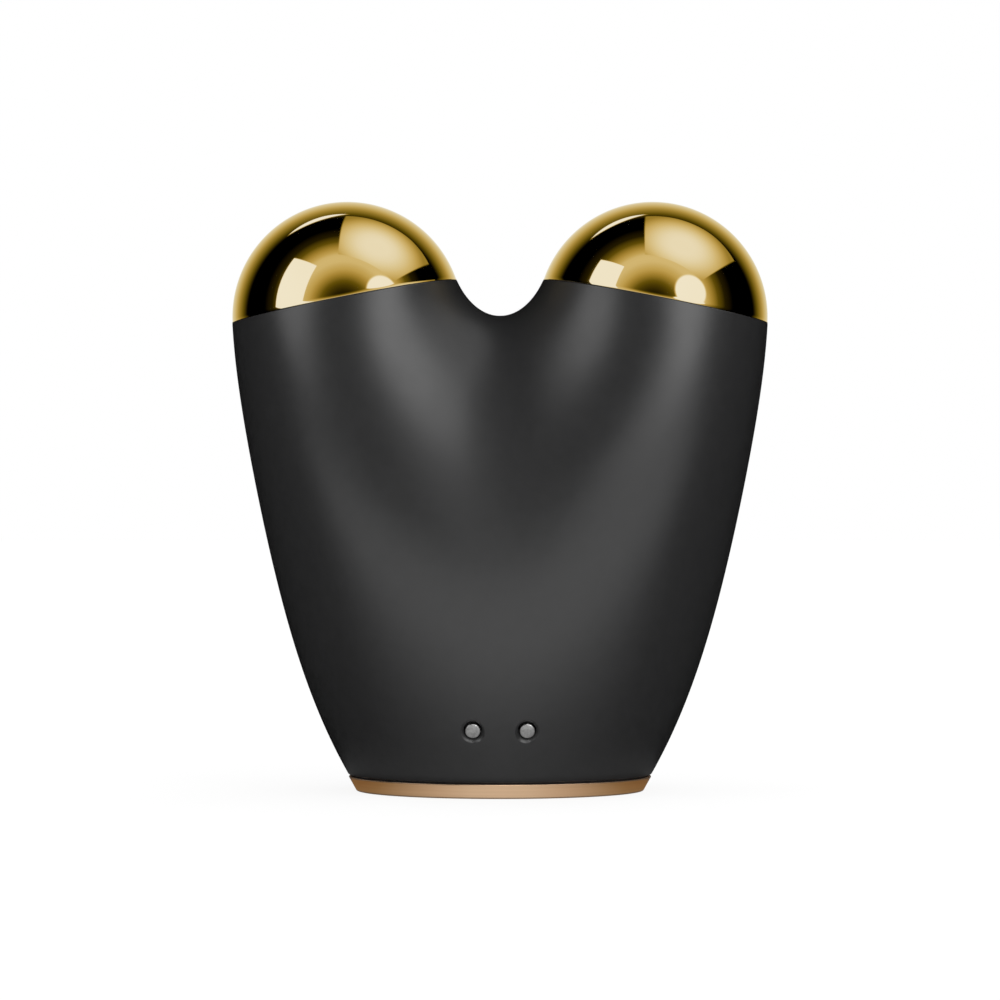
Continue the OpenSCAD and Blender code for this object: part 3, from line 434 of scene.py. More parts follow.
front_skin = grow_skin()
refine(front_skin, [(on_rear(0, button_height), BUTTON_SURROUND)]
       + [(on_rear(x, window_height), WINDOW_SURROUND) for x in window_offsets], cuts=REFINE_CUTS)
press_dish(front_skin, on_rear(0, button_height), Vector((0, 1, 0)), BUTTON_DISH_FLOOR, BUTTON_DISH_EDGE,
           BUTTON_DISH_DEPTH)
thicken(front_skin)
round_edges(front_skin)
front_skin.transform(Matrix.Rotation(pi, 4, "Z"))
front_housing = finish_mesh("front_housing", front_skin)
drill(front_housing, broken_edge(BUTTON_RADIUS + BUTTON_PLAY, -BUTTON_DISH_DEPTH, BUTTON_HOLE_BREAK),
      BUTTON_HOLE_END, Matrix.Translation((0, button_high.y, button_height)) @ OUT_OF_FRONT)
for x in window_offsets:
    drill(front_housing, broken_edge(WINDOW_RADIUS, WINDOW_START, WINDOW_BREAK), WINDOW_END,
          Matrix.Translation((x, face_depth(x, window_height), window_height)) @ OUT_OF_FRONT)

for housing, node in ((rear_housing, "rear_shell"), (front_housing, "front_shell")):
    housing.data.set_sharp_from_angle(angle=HOUSING_CREASE)
    housing.data.materials.clear()
    housing.data.materials.append(soft_touch)
    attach(housing, "body")
    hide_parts(node)

# ---- Gold domes ----
# Each treatment electrode is a drawn brass cap, polished and gold plated, with a fine flange at
# its foot, a skirt that plugs into the rim, and a threaded stud that its nut pulls down.

DOME_RADIUS = 12 * MM
DOME_SINK = 1.62 * MM
DOME_WALL = 0.9 * MM
FLANGE_RADIUS = 11.92 * MM
FLANGE_HEIGHT = 0.17 * MM
FLANGE_LIP = 0.03 * MM
FLANGE_LIP_INSET = 0.01 * MM
SKIRT_RADIUS = 10.3 * MM
SKIRT_LENGTH = 2.2 * MM
SKIRT_CHAMFER = 0.1 * MM
STUD_RADIUS = 1.5 * MM
STUD_BOSS_RADIUS = 2.8 * MM
STUD_LENGTH = 9.2 * MM
STUD_CHAMFER = 0.3 * MM


def sphere_arc(radius, low, high, steps):
    """Profile points on a sphere about the dome's centre, from one height above the rim to another."""
    start, end = acos((low + DOME_SINK) / radius), acos(min(1, (high + DOME_SINK) / radius))
    angles = [start + (end - start) * k / steps for k in range(steps + 1)]
    return [(radius * sin(angle), radius * cos(angle) - DOME_SINK) for angle in angles]


outside = sphere_arc(DOME_RADIUS, FLANGE_HEIGHT, DOME_RADIUS - DOME_SINK, 112)
inside = sphere_arc(DOME_RADIUS - DOME_WALL, FLANGE_HEIGHT,
                    sqrt((DOME_RADIUS - DOME_WALL) ** 2 - STUD_BOSS_RADIUS ** 2) - DOME_SINK, 24)
flange = [(FLANGE_RADIUS, FLANGE_LIP), (FLANGE_RADIUS - FLANGE_LIP_INSET, 0)]
skirt = [(SKIRT_RADIUS, 0), (SKIRT_RADIUS, SKIRT_CHAMFER - SKIRT_LENGTH),
         (SKIRT_RADIUS - SKIRT_CHAMFER, -SKIRT_LENGTH),
         (SKIRT_RADIUS - DOME_WALL + SKIRT_CHAMFER, -SKIRT_LENGTH),
         (SKIRT_RADIUS - DOME_WALL, SKIRT_CHAMFER - SKIRT_LENGTH),
         (SKIRT_RADIUS - DOME_WALL, FLANGE_HEIGHT)]
stud = [(STUD_BOSS_RADIUS, FLANGE_HEIGHT), (STUD_RADIUS, FLANGE_HEIGHT),
        (STUD_RADIUS, STUD_CHAMFER - STUD_LENGTH), (STUD_RADIUS - STUD_CHAMFER, -STUD_LENGTH),
        (0, -STUD_LENGTH)]
dome_profile = outside[::-1] + flange + skirt + inside + stud

gold, tree, shader = surface("polished_gold_plate", (0.8, 0.62, 0.31), 0.03, metallic=1.0)
tint(tree, grain(tree, 120), (0.79, 0.61, 0.3), (0.81, 0.63, 0.32), shader.inputs["Base Color"])
vary(tree, grain(tree, 260, detail=6), 0.02, 0.045, shader.inputs["Roughness"])

for name, side in (("left", LEFT), ("right", RIGHT)):
    arm = Matrix.Translation((side * RIM_OFFSET, 0, RIM_HEIGHT)) @ Matrix.Rotation(side * RIM_LEAN, 4, "Y")
    dome = finish_mesh("gold_dome_" + name, turned(dome_profile, steps=192, place=arm), radians(15))
    dome.data.materials.append(gold)
    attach(dome, "body")
    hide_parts("dome_" + name)

# ---- Base band ----
# An oval foot ring milled from bronze-coloured aluminium, brushed along its length and tapered
# towards the table. A thin black seal keeps it a hair below the housing, and the rubber pad that
# hides the screws is the foot.

BAND_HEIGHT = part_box("base_trim")[1].z
BAND_TAPER = 0.83 * MM
BAND_WALL = 1.9 * MM
BAND_CHAMFER = 0.07 * MM
BAND_EDGE = [(0.12 * MM, 0), (0.07 * MM, 0.01 * MM), (0.045 * MM, 0.03 * MM), (0.04 * MM, 0.07 * MM)]
BAND_EDGE_DROP = 0.12 * MM
SEAL_INSET = 0.35 * MM
OVAL_SEGMENTS = 256


def oval_loft(levels, closed):
    """An oval ring or disc, parallel to the housing's lower edge, through (inset, height) levels."""
    bm = bmesh.new()
    bmesh.ops.create_circle(bm, segments=OVAL_SEGMENTS, radius=1)
    turns = {vert: atan2(vert.co.y, vert.co.x) for vert in bm.verts}
    rings = [bm.edges[:]]
    for inset, height in levels:
        if turns is None:
            grown = bmesh.ops.extrude_edge_only(bm, edges=rings[-1])["geom"]
            rings.append([item for item in grown if isinstance(item, bmesh.types.BMEdge)])
            fresh = [item for item in grown if isinstance(item, bmesh.types.BMVert)]
            turns = {vert: atan2(vert.co.y / half_depth, vert.co.x / half_width) for vert in fresh}
        half_width, half_depth = BASE_HALF_WIDTH - inset, BASE_HALF_DEPTH - inset
        for vert, turn in turns.items():
            vert.co = (half_width * cos(turn), half_depth * sin(turn), height)
        turns = None
    if closed:
        bmesh.ops.holes_fill(bm, edges=rings[0] + rings[-1], sides=0)
    else:
        bmesh.ops.bridge_loops(bm, edges=rings[0] + rings[-1])
    bmesh.ops.recalc_face_normals(bm, faces=bm.faces[:])
    return bm


def taper_at(height):
    """The band's inset at a height."""
    return BAND_TAPER * (1 - height / BAND_HEIGHT)


bronze, tree, shader = surface("brushed_bronze", (0.78, 0.52, 0.33), 0.34, metallic=1.0)
tint(tree, grain(tree, 60, stretch=(1, 1, 60)), (0.74, 0.49, 0.31), (0.82, 0.55, 0.35),
     shader.inputs["Base Color"])
vary(tree, grain(tree, 90, detail=6, stretch=(1, 1, 90)), 0.30, 0.38, shader.inputs["Roughness"])
emboss(tree, grain(tree, 120, detail=6, stretch=(1, 1, 120)), shader, 0.004 * MM, 0.3)

band_levels = [(BAND_WALL, BAND_HEIGHT)]
band_levels += [(inset, BAND_HEIGHT - drop) for inset, drop in BAND_EDGE]
band_levels += [(taper_at(BAND_HEIGHT - BAND_EDGE_DROP), BAND_HEIGHT - BAND_EDGE_DROP),
                (taper_at(BAND_CHAMFER), BAND_CHAMFER),
                (BAND_TAPER + 0.3 * BAND_CHAMFER, 0.2 * BAND_CHAMFER),
                (BAND_TAPER + BAND_CHAMFER, 0), (BAND_WALL, 0)]
band = finish_mesh("base_band", oval_loft(band_levels, closed=False), radians(50))
band.data.materials.append(bronze)
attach(band, "body")
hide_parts("base_trim")

rubber, tree, shader = surface("black_rubber", (0.012, 0.012, 0.013), 0.7, specular=0.35)
tint(tree, grain(tree, 800), (0.010, 0.010, 0.011), (0.015, 0.015, 0.016), shader.inputs["Base Color"])
vary(tree, grain(tree, 500, detail=5), 0.62, 0.78, shader.inputs["Roughness"])
emboss(tree, grain(tree, 9000, detail=2), shader, 0.006 * MM, 0.4)

seal = finish_mesh("base_seal_ring", oval_loft([
    (BAND_WALL, BAND_HEIGHT), (SEAL_INSET, BAND_HEIGHT), (SEAL_INSET, BAND_TOP), (BAND_WALL, BAND_TOP)],
    closed=False))
PAD_INSET = 3.4 * MM
PAD_HEIGHT = 0.8 * MM
PAD_ROUNDING = 0.25 * MM
pad = finish_mesh("base_grip_pad", oval_loft([
    (PAD_INSET, PAD_HEIGHT), (PAD_INSET, PAD_ROUNDING),
    (PAD_INSET + 0.12 * PAD_ROUNDING, 0.6 * PAD_ROUNDING),
    (PAD_INSET + 0.4 * PAD_ROUNDING, 0.2 * PAD_ROUNDING), (PAD_INSET + PAD_ROUNDING, 0)], closed=True))
for piece, node in ((seal, "base_seal"), (pad, "base_pad")):
    piece.data.materials.append(rubber)
    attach(piece, "body")
    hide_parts(node)

# ---- Charging contacts ----
# Two plated pins stand in the dishes at the foot of the rear. Each is turned brass with a slightly
# crowned, finely textured face, and is held by its flange in the carrier.

PIN_RADIUS = 0.775 * MM
PIN_CROWN = 0.05 * MM
PIN_FACE = -0.06 * MM
PIN_FACE_STEPS = 10
PIN_EDGE = [(0.05 * MM, 0.015 * MM), (0.02 * MM, 0.04 * MM), (0, 0.09 * MM)]
PIN_ROUNDING = 0.09 * MM
PIN_FLANGE_RADIUS = 1.2 * MM
PIN_FLANGE = -2.5 * MM
PIN_FLANGE_END = -3.2 * MM
PIN_TAIL_RADIUS = 0.45 * MM
PIN_TAIL_END = -6.1 * MM
PIN_TAIL_CHAMFER = 0.1 * MM

contact_metal, tree, shader = surface("nickel_plate", (0.84, 0.84, 0.83), 0.3, metallic=1.0)
tint(tree, grain(tree, 2600, detail=5), (0.62, 0.62, 0.61), (1.0, 1.0, 0.99),
     shader.inputs["Base Color"])
vary(tree, grain(tree, 1500, detail=5), 0.26, 0.38, shader.inputs["Roughness"])
emboss(tree, grain(tree, 3200, detail=4), shader, 0.01 * MM, 0.45)

pin_face_radii = [k * (PIN_RADIUS - PIN_ROUNDING) / PIN_FACE_STEPS for k in range(PIN_FACE_STEPS + 1)]
pin_profile = [(radius, PIN_FACE - PIN_CROWN * (radius / PIN_RADIUS) ** 2) for radius in pin_face_radii]
pin_profile += [(PIN_RADIUS - inset, PIN_FACE - PIN_CROWN - drop) for inset, drop in PIN_EDGE]
pin_profile += [(PIN_RADIUS, PIN_FLANGE), (PIN_FLANGE_RADIUS, PIN_FLANGE),
                (PIN_FLANGE_RADIUS, PIN_FLANGE_END), (PIN_TAIL_RADIUS, PIN_FLANGE_END),
                (PIN_TAIL_RADIUS, PIN_TAIL_END + PIN_TAIL_CHAMFER),
                (PIN_TAIL_RADIUS - PIN_TAIL_CHAMFER, PIN_TAIL_END), (0, PIN_TAIL_END)]
for name, side in (("left", LEFT), ("right", RIGHT)):
    pin = finish_mesh("contact_pin_" + name, turned(pin_profile, place=contact_places[side]), radians(40))
    pin.data.materials.append(contact_metal)
    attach(pin, "body")
    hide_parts("charge_pin_" + name)

# ---- Power button ----
# A round moulded key with a gently crowned face sits in the dish on the front. Its flange keeps
# it in, a ring seals its neck, and its stem presses the switch on the board.

BUTTON_CROWN = 0.5 * MM
BUTTON_CROWN_STEPS = 24
BUTTON_ROUNDING = 0.3 * MM
BUTTON_EDGE = [(0.16 * MM, 0.05 * MM), (0.06 * MM, 0.13 * MM), (0, 0.27 * MM)]
BUTTON_FLANGE_RADIUS = 7.2 * MM
BUTTON_NECK = -3.96 * MM
BUTTON_FLANGE_TOP = -3.06 * MM
GROOVE_RADIUS = 5.4 * MM
GROOVE_PLAY = 0.06 * MM
STEM_RADIUS = 1.5 * MM
ring_low, ring_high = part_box("button_o_ring")
crown_radius = (BUTTON_RADIUS ** 2 + BUTTON_CROWN ** 2) / (2 * BUTTON_CROWN)
crown_radii = [k * (BUTTON_RADIUS - BUTTON_ROUNDING) / BUTTON_CROWN_STEPS
               for k in range(BUTTON_CROWN_STEPS + 1)]
crown = [(radius, sqrt(crown_radius ** 2 - radius ** 2) - crown_radius) for radius in crown_radii]
crown_foot = crown[-1][1]
button_rim = [(BUTTON_RADIUS - inset, crown_foot - drop) for inset, drop in BUTTON_EDGE]
groove_top = ring_high.y - button_high.y + GROOVE_PLAY
groove_foot = ring_low.y - button_high.y - GROOVE_PLAY
button_back = [(BUTTON_RADIUS, groove_top), (GROOVE_RADIUS, groove_top), (GROOVE_RADIUS, groove_foot),
               (BUTTON_RADIUS, groove_foot), (BUTTON_RADIUS, BUTTON_FLANGE_TOP),
               (BUTTON_FLANGE_RADIUS, BUTTON_FLANGE_TOP),
               (BUTTON_FLANGE_RADIUS, BUTTON_NECK), (STEM_RADIUS, BUTTON_NECK),
               (STEM_RADIUS, button_low.y - button_high.y), (0, button_low.y - button_high.y)]

dark_plastic, tree, shader = surface("dark_moulded_plastic", (0.016, 0.016, 0.017), 0.38)
tint(tree, grain(tree, 600), (0.0155, 0.0155, 0.0165), (0.017, 0.017, 0.018), shader.inputs["Base Color"])
vary(tree, grain(tree, 900, detail=5), 0.36, 0.4, shader.inputs["Roughness"])
emboss(tree, grain(tree, 12000, detail=2), shader, 0.004 * MM, 0.3)

button = finish_mesh("power_key", turned(
    crown + button_rim + button_back, steps=160,
    place=Matrix.Translation((0, button_high.y, button_height)) @ OUT_OF_FRONT))
button.data.materials.append(dark_plastic)
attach(button, "button")
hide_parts("power_button")

# ---- Switch and status lights ----
# A tact switch under the button and three LEDs are soldered to the board. A clear light pipe
# carries their light to the three windows above the button.


def dress(material, *names):
    """Gives modelled nodes of the frame their finish."""
    for name in names:
        for socket in frame["nodes"][name].material_slots:
            socket.material = material


clear, tree, shader = surface("clear_acrylic", (0.86, 0.88, 0.9), 0.12)
shader.inputs["Transmission Weight"].default_value = 0.6
shader.inputs["IOR"].default_value = 1.49
vary(tree, grain(tree, 400), 0.08, 0.2, shader.inputs["Roughness"])
tint(tree, grain(tree, 300), (0.82, 0.84, 0.86), (0.9, 0.92, 0.94), shader.inputs["Base Color"])

pale_plastic, tree, shader = surface("pale_nylon", (0.62, 0.61, 0.57), 0.45)
tint(tree, grain(tree, 300), (0.58, 0.57, 0.53), (0.66, 0.65, 0.61), shader.inputs["Base Color"])
vary(tree, grain(tree, 500), 0.4, 0.5, shader.inputs["Roughness"])

ceramic, tree, shader = surface("fired_ceramic", (0.55, 0.42, 0.26), 0.35)
tint(tree, grain(tree, 900), (0.5, 0.38, 0.23), (0.6, 0.46, 0.3), shader.inputs["Base Color"])
vary(tree, grain(tree, 900), 0.3, 0.4, shader.inputs["Roughness"])

dress(dark_plastic, "switch_body")
dress(pale_plastic, "switch_plunger")
dress(clear, "light_pipe")
dress(ceramic, "status_leds")

# ---- Cap, carrier and seals ----
# A black moulded cap closes the base, and a carrier of the same plastic holds the charging pins.
# Moulded rubber rings seal the button, the pins and the domes.

dress(dark_plastic, "base_cap", "contact_carrier")
dress(rubber, "button_o_ring", "pin_seal_left", "pin_seal_right", "dome_gasket_left", "dome_gasket_right")

# ---- Circuit board ----
# Green glass-epoxy board with the controller, the charger, a buzzer, the boost coil and the
# transformer that makes the treatment current. The chassis screws hold it to the front housing.

board_green, tree, shader = surface("solder_mask", (0.02, 0.16, 0.06), 0.3)
tint(tree, grain(tree, 500), (0.016, 0.13, 0.05), (0.025, 0.19, 0.075), shader.inputs["Base Color"])
vary(tree, grain(tree, 700), 0.25, 0.38, shader.inputs["Roughness"])

chip_black, tree, shader = surface("chip_epoxy", (0.014, 0.014, 0.015), 0.5)
tint(tree, grain(tree, 2500), (0.012, 0.012, 0.013), (0.02, 0.02, 0.021), shader.inputs["Base Color"])
vary(tree, grain(tree, 2500), 0.45, 0.58, shader.inputs["Roughness"])

copper, tree, shader = surface("enamelled_copper", (0.7, 0.3, 0.12), 0.3, metallic=1.0)
tint(tree, grain(tree, 300, stretch=(20, 1, 1)), (0.55, 0.22, 0.08), (0.8, 0.38, 0.18),
     shader.inputs["Base Color"])
vary(tree, grain(tree, 300, stretch=(20, 1, 1)), 0.25, 0.4, shader.inputs["Roughness"])

dress(board_green, "circuit_board")
dress(chip_black, "controller_chip", "charger_chip", "boost_inductor")
dress(copper, "output_transformer")
dress(ceramic, "board_capacitors")
dress(dark_plastic, "buzzer")

# ---- Chassis and battery ----
# A white nylon tray behind the board holds the foil lithium cell on a strip of foam. The cell's
# leads plug into the foot of the board.

foil, tree, shader = surface("cell_foil", (0.62, 0.63, 0.65), 0.32, metallic=0.9)
tint(tree, grain(tree, 200), (0.57, 0.58, 0.6), (0.68, 0.69, 0.71), shader.inputs["Base Color"])
vary(tree, grain(tree, 300, detail=6), 0.26, 0.42, shader.inputs["Roughness"])
emboss(tree, grain(tree, 500, detail=5), shader, 0.05 * MM, 0.3)

foam, tree, shader = surface("foam_strip", (0.08, 0.08, 0.085), 0.95, specular=0.2)
tint(tree, grain(tree, 3500), (0.05, 0.05, 0.055), (0.12, 0.12, 0.125), shader.inputs["Base Color"])
emboss(tree, grain(tree, 3500), shader, 0.08 * MM, 0.7)
vary(tree, grain(tree, 2000), 0.88, 1.0, shader.inputs["Roughness"])

dress(pale_plastic, "chassis", "battery_connector")
dress(foil, "battery")
dress(foam, "battery_pad")

# ---- Leads and fasteners ----
# Silicone-covered leads run from the domes, the cell and the charging pins to the board. Steel nuts
# clamp the domes and their tinned solder tags to nylon seats. Steel screws hold the housing and the
# chassis, and magnets draw the charger's plug on.

red_lead, tree, shader = surface("red_silicone", (0.42, 0.02, 0.018), 0.45)
tint(tree, grain(tree, 900), (0.37, 0.016, 0.014), (0.48, 0.026, 0.022), shader.inputs["Base Color"])
vary(tree, grain(tree, 900), 0.4, 0.52, shader.inputs["Roughness"])

black_lead, tree, shader = surface("black_silicone", (0.015, 0.015, 0.016), 0.45)
tint(tree, grain(tree, 900), (0.012, 0.012, 0.013), (0.02, 0.02, 0.021), shader.inputs["Base Color"])
vary(tree, grain(tree, 900), 0.4, 0.52, shader.inputs["Roughness"])

steel, tree, shader = surface("zinc_plated_steel", (0.6, 0.6, 0.61), 0.28, metallic=1.0)
tint(tree, grain(tree, 900), (0.54, 0.54, 0.55), (0.67, 0.67, 0.68), shader.inputs["Base Color"])
vary(tree, grain(tree, 1200, detail=5), 0.22, 0.36, shader.inputs["Roughness"])

tinned, tree, shader = surface("tinned_brass", (0.68, 0.66, 0.6), 0.33, metallic=1.0)
tint(tree, grain(tree, 700), (0.62, 0.6, 0.54), (0.74, 0.72, 0.66), shader.inputs["Base Color"])
vary(tree, grain(tree, 900, detail=5), 0.26, 0.42, shader.inputs["Roughness"])

dress(red_lead, "dome_wire_left", "charge_wire_left", "battery_wires")
dress(black_lead, "dome_wire_right", "charge_wire_right")
dress(steel, "base_screws", "chassis_screws", "dome_nut_left", "dome_nut_right", "charge_magnets")
dress(tinned, "solder_tag_left", "solder_tag_right")
dress(pale_plastic, "dome_seat_left", "dome_seat_right")

# ---- Floor ----
# A pale, level table top. It shows as white to the camera and still takes the device's soft
# shadow. Glossy surfaces see a painted glow on it instead of its lit colour: a painted pool of light
# in front, dim at the sides, a painted shadow close to the device and a faint painted glow round the foot.

FLOOR_SIZE = 3.0
BRIGHT_FROM = 0
BRIGHT_TO = 49 * MM
BRIGHT_LEVEL = 0.67
SIDE_FALLOFF = 0.36
FOOT_GLOW = 0.13
FOOT_GLOW_REACH = 1.65
WHITE_SHARE = 0.85

floor_mesh = bmesh.new()
bmesh.ops.create_grid(floor_mesh, x_segments=8, y_segments=8, size=FLOOR_SIZE / 2)
floor = finish_mesh("floor", floor_mesh)
floor_paint, tree, shader = surface("floor_paint", (0.95, 0.95, 0.95), 0.6, specular=0.2)
tint(tree, grain(tree, 40), (0.94, 0.94, 0.94), (0.96, 0.96, 0.96), shader.inputs["Base Color"])


def calculate(tree, operation, *values):
    """A Math node. Each value is a number or an output to link."""
    node = tree.nodes.new("ShaderNodeMath")
    node.operation = operation
    for socket, value in zip(node.inputs, values):
        if isinstance(value, (int, float)):
            socket.default_value = value
        else:
            tree.links.new(value, socket)
    return node.outputs[0]


def fade(tree, value, start, end, start_level=0.0, end_level=1.0):
    """A level that changes smoothly as a value runs from start to end."""
    node = tree.nodes.new("ShaderNodeMapRange")
    node.interpolation_type = "SMOOTHSTEP"
    node.inputs["From Min"].default_value = start
    node.inputs["From Max"].default_value = end
    node.inputs["To Min"].default_value = start_level
    node.inputs["To Max"].default_value = end_level
    tree.links.new(value, node.inputs["Value"])
    return node.outputs["Result"]


place = tree.nodes.new("ShaderNodeTexCoord")
parts = tree.nodes.new("ShaderNodeSeparateXYZ")
tree.links.new(place.outputs["Object"], parts.inputs[0])
in_front = calculate(tree, "MULTIPLY", parts.outputs["Y"], -1.0)
aside = calculate(tree, "MULTIPLY", calculate(tree, "ABSOLUTE", parts.outputs["X"]), SIDE_FALLOFF)
# Painted light for glossy rays: nothing near the device (a painted shadow), rising to a bright pool in
# front and falling off to the sides.
painted_pool_of_light = fade(tree, calculate(tree, "SUBTRACT", in_front, aside), BRIGHT_FROM, BRIGHT_TO, 0.0, BRIGHT_LEVEL)
scaled = tree.nodes.new("ShaderNodeVectorMath")
scaled.operation = "DIVIDE"
scaled.inputs[1].default_value = (BASE_HALF_WIDTH, BASE_HALF_DEPTH, 1)
tree.links.new(place.outputs["Object"], scaled.inputs[0])
from_foot = tree.nodes.new("ShaderNodeVectorMath")
from_foot.operation = "LENGTH"
tree.links.new(scaled.outputs["Vector"], from_foot.inputs[0])
# A faint painted glow close round the foot, seen only in reflections.
painted_foot_glow = fade(tree, from_foot.outputs["Value"], 1.0, FOOT_GLOW_REACH, FOOT_GLOW, 0.0)

# Glossy rays get the painted glow; camera and transmission rays get white over the floor's own shading.
rays = tree.nodes.new("ShaderNodeLightPath")
white_glow = tree.nodes.new("ShaderNodeEmission")
painted_floor_reflection = tree.nodes.new("ShaderNodeEmission")
tree.links.new(calculate(tree, "ADD", painted_pool_of_light, painted_foot_glow), painted_floor_reflection.inputs["Strength"])
seen = tree.nodes.new("ShaderNodeMixShader")
mirrored = tree.nodes.new("ShaderNodeMixShader")
plainly_seen = calculate(tree, "MAXIMUM", rays.outputs["Is Camera Ray"],
                         rays.outputs["Is Transmission Ray"])
tree.links.new(calculate(tree, "MULTIPLY", plainly_seen, WHITE_SHARE), seen.inputs["Fac"])
tree.links.new(shader.outputs["BSDF"], seen.inputs[1])
tree.links.new(white_glow.outputs["Emission"], seen.inputs[2])
tree.links.new(rays.outputs["Is Glossy Ray"], mirrored.inputs["Fac"])
tree.links.new(seen.outputs["Shader"], mirrored.inputs[1])
tree.links.new(painted_floor_reflection.outputs["Emission"], mirrored.inputs[2])
tree.links.new(mirrored.outputs["Shader"], tree.nodes["Material Output"].inputs["Surface"])
floor.data.materials.append(floor_paint)

# ---- Studio lights ----
# Round soft boxes stand three metres off, and a small spot hangs close above the charging contacts.
# The polished domes don't take their light, because they mirror the studio walls. One box is for the band
# alone, and a glowing card round the foot paints a reflection into the band.

LIGHT_DISTANCE = 3.0
AIM = Vector((0, 0, 0.03))


def gather(name, wanted):
    """A collection of the mesh objects whose names are wanted, for a light to shine on."""
    group = bpy.data.collections.new(name)
    for piece in bpy.context.scene.objects:
        if piece.type == "MESH" and wanted(piece.name):
            group.objects.link(piece)
    return group


polished = gather("polished", lambda name: name.startswith("gold_dome"))
satin = gather("satin", lambda name: not name.startswith("gold_dome"))
band_only = gather("band_only", lambda name: name == "base_band")
satin_behind = gather("satin_behind", lambda name: not name.startswith(("gold_dome", "rear_housing")))


def bearing(azimuth, elevation):
    """The direction at some degrees to the right of the camera's side and above the floor."""
    a, e = radians(azimuth), radians(elevation)
    return Vector((sin(a) * cos(e), -cos(a) * cos(e), sin(e)))


def soft_box(name, towards, radius, radiance, shines_on):
    """A round area light of a radius in degrees, faced to the device."""
    data = bpy.data.lights.new(name, "AREA")
    data.shape = "DISK"
    data.size = 2 * LIGHT_DISTANCE * tan(radians(radius))
    data.energy = radiance * pi * pi * data.size ** 2 / 4
    light = bpy.data.objects.new(name, data)
    light.location = AIM + towards * LIGHT_DISTANCE
    light.rotation_euler = towards.to_track_quat("Z", "Y").to_euler()
    light.visible_camera = False
    light.light_linking.receiver_collection = shines_on
    bpy.context.scene.collection.objects.link(light)


# name, azimuth, elevation, radius in degrees, radiance, pieces
SOFT_BOXES = (
    ("front_left", -61.4, 33.5, 17.7, 1.56, satin),
    ("front_right_low", 31.4, 8, 30, 0.51, satin),
    ("front_right_high", 43.9, 36.3, 18.5, 1.93, satin),
    ("side_right", 90, 57, 26, 0.52, satin),
    ("behind_left", -125, 34, 18, 1.3, satin_behind),
    ("behind_right", 140, 38, 18, 1.6, satin_behind),
    ("band_edge", 0, 26, 24, 2.4, band_only))
for name, azimuth, elevation, radius, radiance, shines_on in SOFT_BOXES:
    soft_box(name, bearing(azimuth, elevation), radius, radiance, shines_on)

CONTACT_SPOT_DISTANCE = 40 * MM
CONTACT_SPOT_RADIUS = 7 * MM
CONTACT_SPOT_RADIANCE = 3.8
CONTACT_SPOT_ELEVATION = 46
CONTACT_SPOT_CONE = radians(26)
CONTACT_SPOT_BLEND = 0.5
spot_towards = bearing(0, CONTACT_SPOT_ELEVATION)
spot_data = bpy.data.lights.new("contact_spot", "SPOT")
spot_data.shadow_soft_size = CONTACT_SPOT_RADIUS
spot_data.spot_size = CONTACT_SPOT_CONE
spot_data.spot_blend = CONTACT_SPOT_BLEND
spot_data.energy = CONTACT_SPOT_RADIANCE * 4 * pi ** 2 * CONTACT_SPOT_RADIUS ** 2
contact_spot = bpy.data.objects.new("contact_spot", spot_data)
contact_spot.location = Vector((0, -contact_level, CONTACT_HEIGHT)) + spot_towards * CONTACT_SPOT_DISTANCE
contact_spot.rotation_euler = spot_towards.to_track_quat("Z", "Y").to_euler()
contact_spot.visible_camera = False
contact_spot.light_linking.receiver_collection = satin
bpy.context.scene.collection.objects.link(contact_spot)

CARD_MARGIN = 1.5 * MM
CARD_HEIGHT = 0.01 * MM
CARD_THICKNESS = 0.005 * MM
CARD_GAP = 0.1 * MM
# The card's colour is a painted reflection in the band: bright and neutral under its middle, darker and
# warmer towards its ends.
PAINTED_BAND_REFLECTION = ((0, (0.76, 0.77, 0.76)), (0.2, (0.73, 0.74, 0.72)), (0.42, (0.6, 0.57, 0.52)),
             (0.66, (0.42, 0.37, 0.29)), (0.84, (0.3, 0.23, 0.13)), (1, (0.25, 0.16, 0.07)))


def glowing_only(stage_piece, shines_on):
    """Hides a glowing stage piece from all but the mirror images in some pieces."""
    stage_piece.visible_camera = False
    stage_piece.visible_diffuse = False
    stage_piece.visible_transmission = False
    stage_piece.visible_shadow = False
    stage_piece.light_linking.receiver_collection = shines_on


def glow_paint(name):
    """A new, empty material that glows and isn't sampled as a lamp."""
    paint = bpy.data.materials.new(name)
    paint.use_nodes = True
    paint.cycles.emission_sampling = "NONE"
    paint.node_tree.nodes.clear()
    output = paint.node_tree.nodes.new("ShaderNodeOutputMaterial")
    emission = paint.node_tree.nodes.new("ShaderNodeEmission")
    paint.node_tree.links.new(emission.outputs["Emission"], output.inputs["Surface"])
    return paint, paint.node_tree, emission


def colour_ramp(tree, value, elements):
    """A colour that follows a value through (position, colour) pairs."""
    node = tree.nodes.new("ShaderNodeValToRGB")
    tree.links.new(value, node.inputs["Fac"])
    stops = node.color_ramp.elements
    while len(stops) > 1:
        stops.remove(stops[0])
    for k, (position, colour) in enumerate(sorted(elements)):
        stop = stops[0] if k == 0 else stops.new(position)
        stop.position = position
        stop.color = (*colour, 1)
    return node.outputs["Color"]


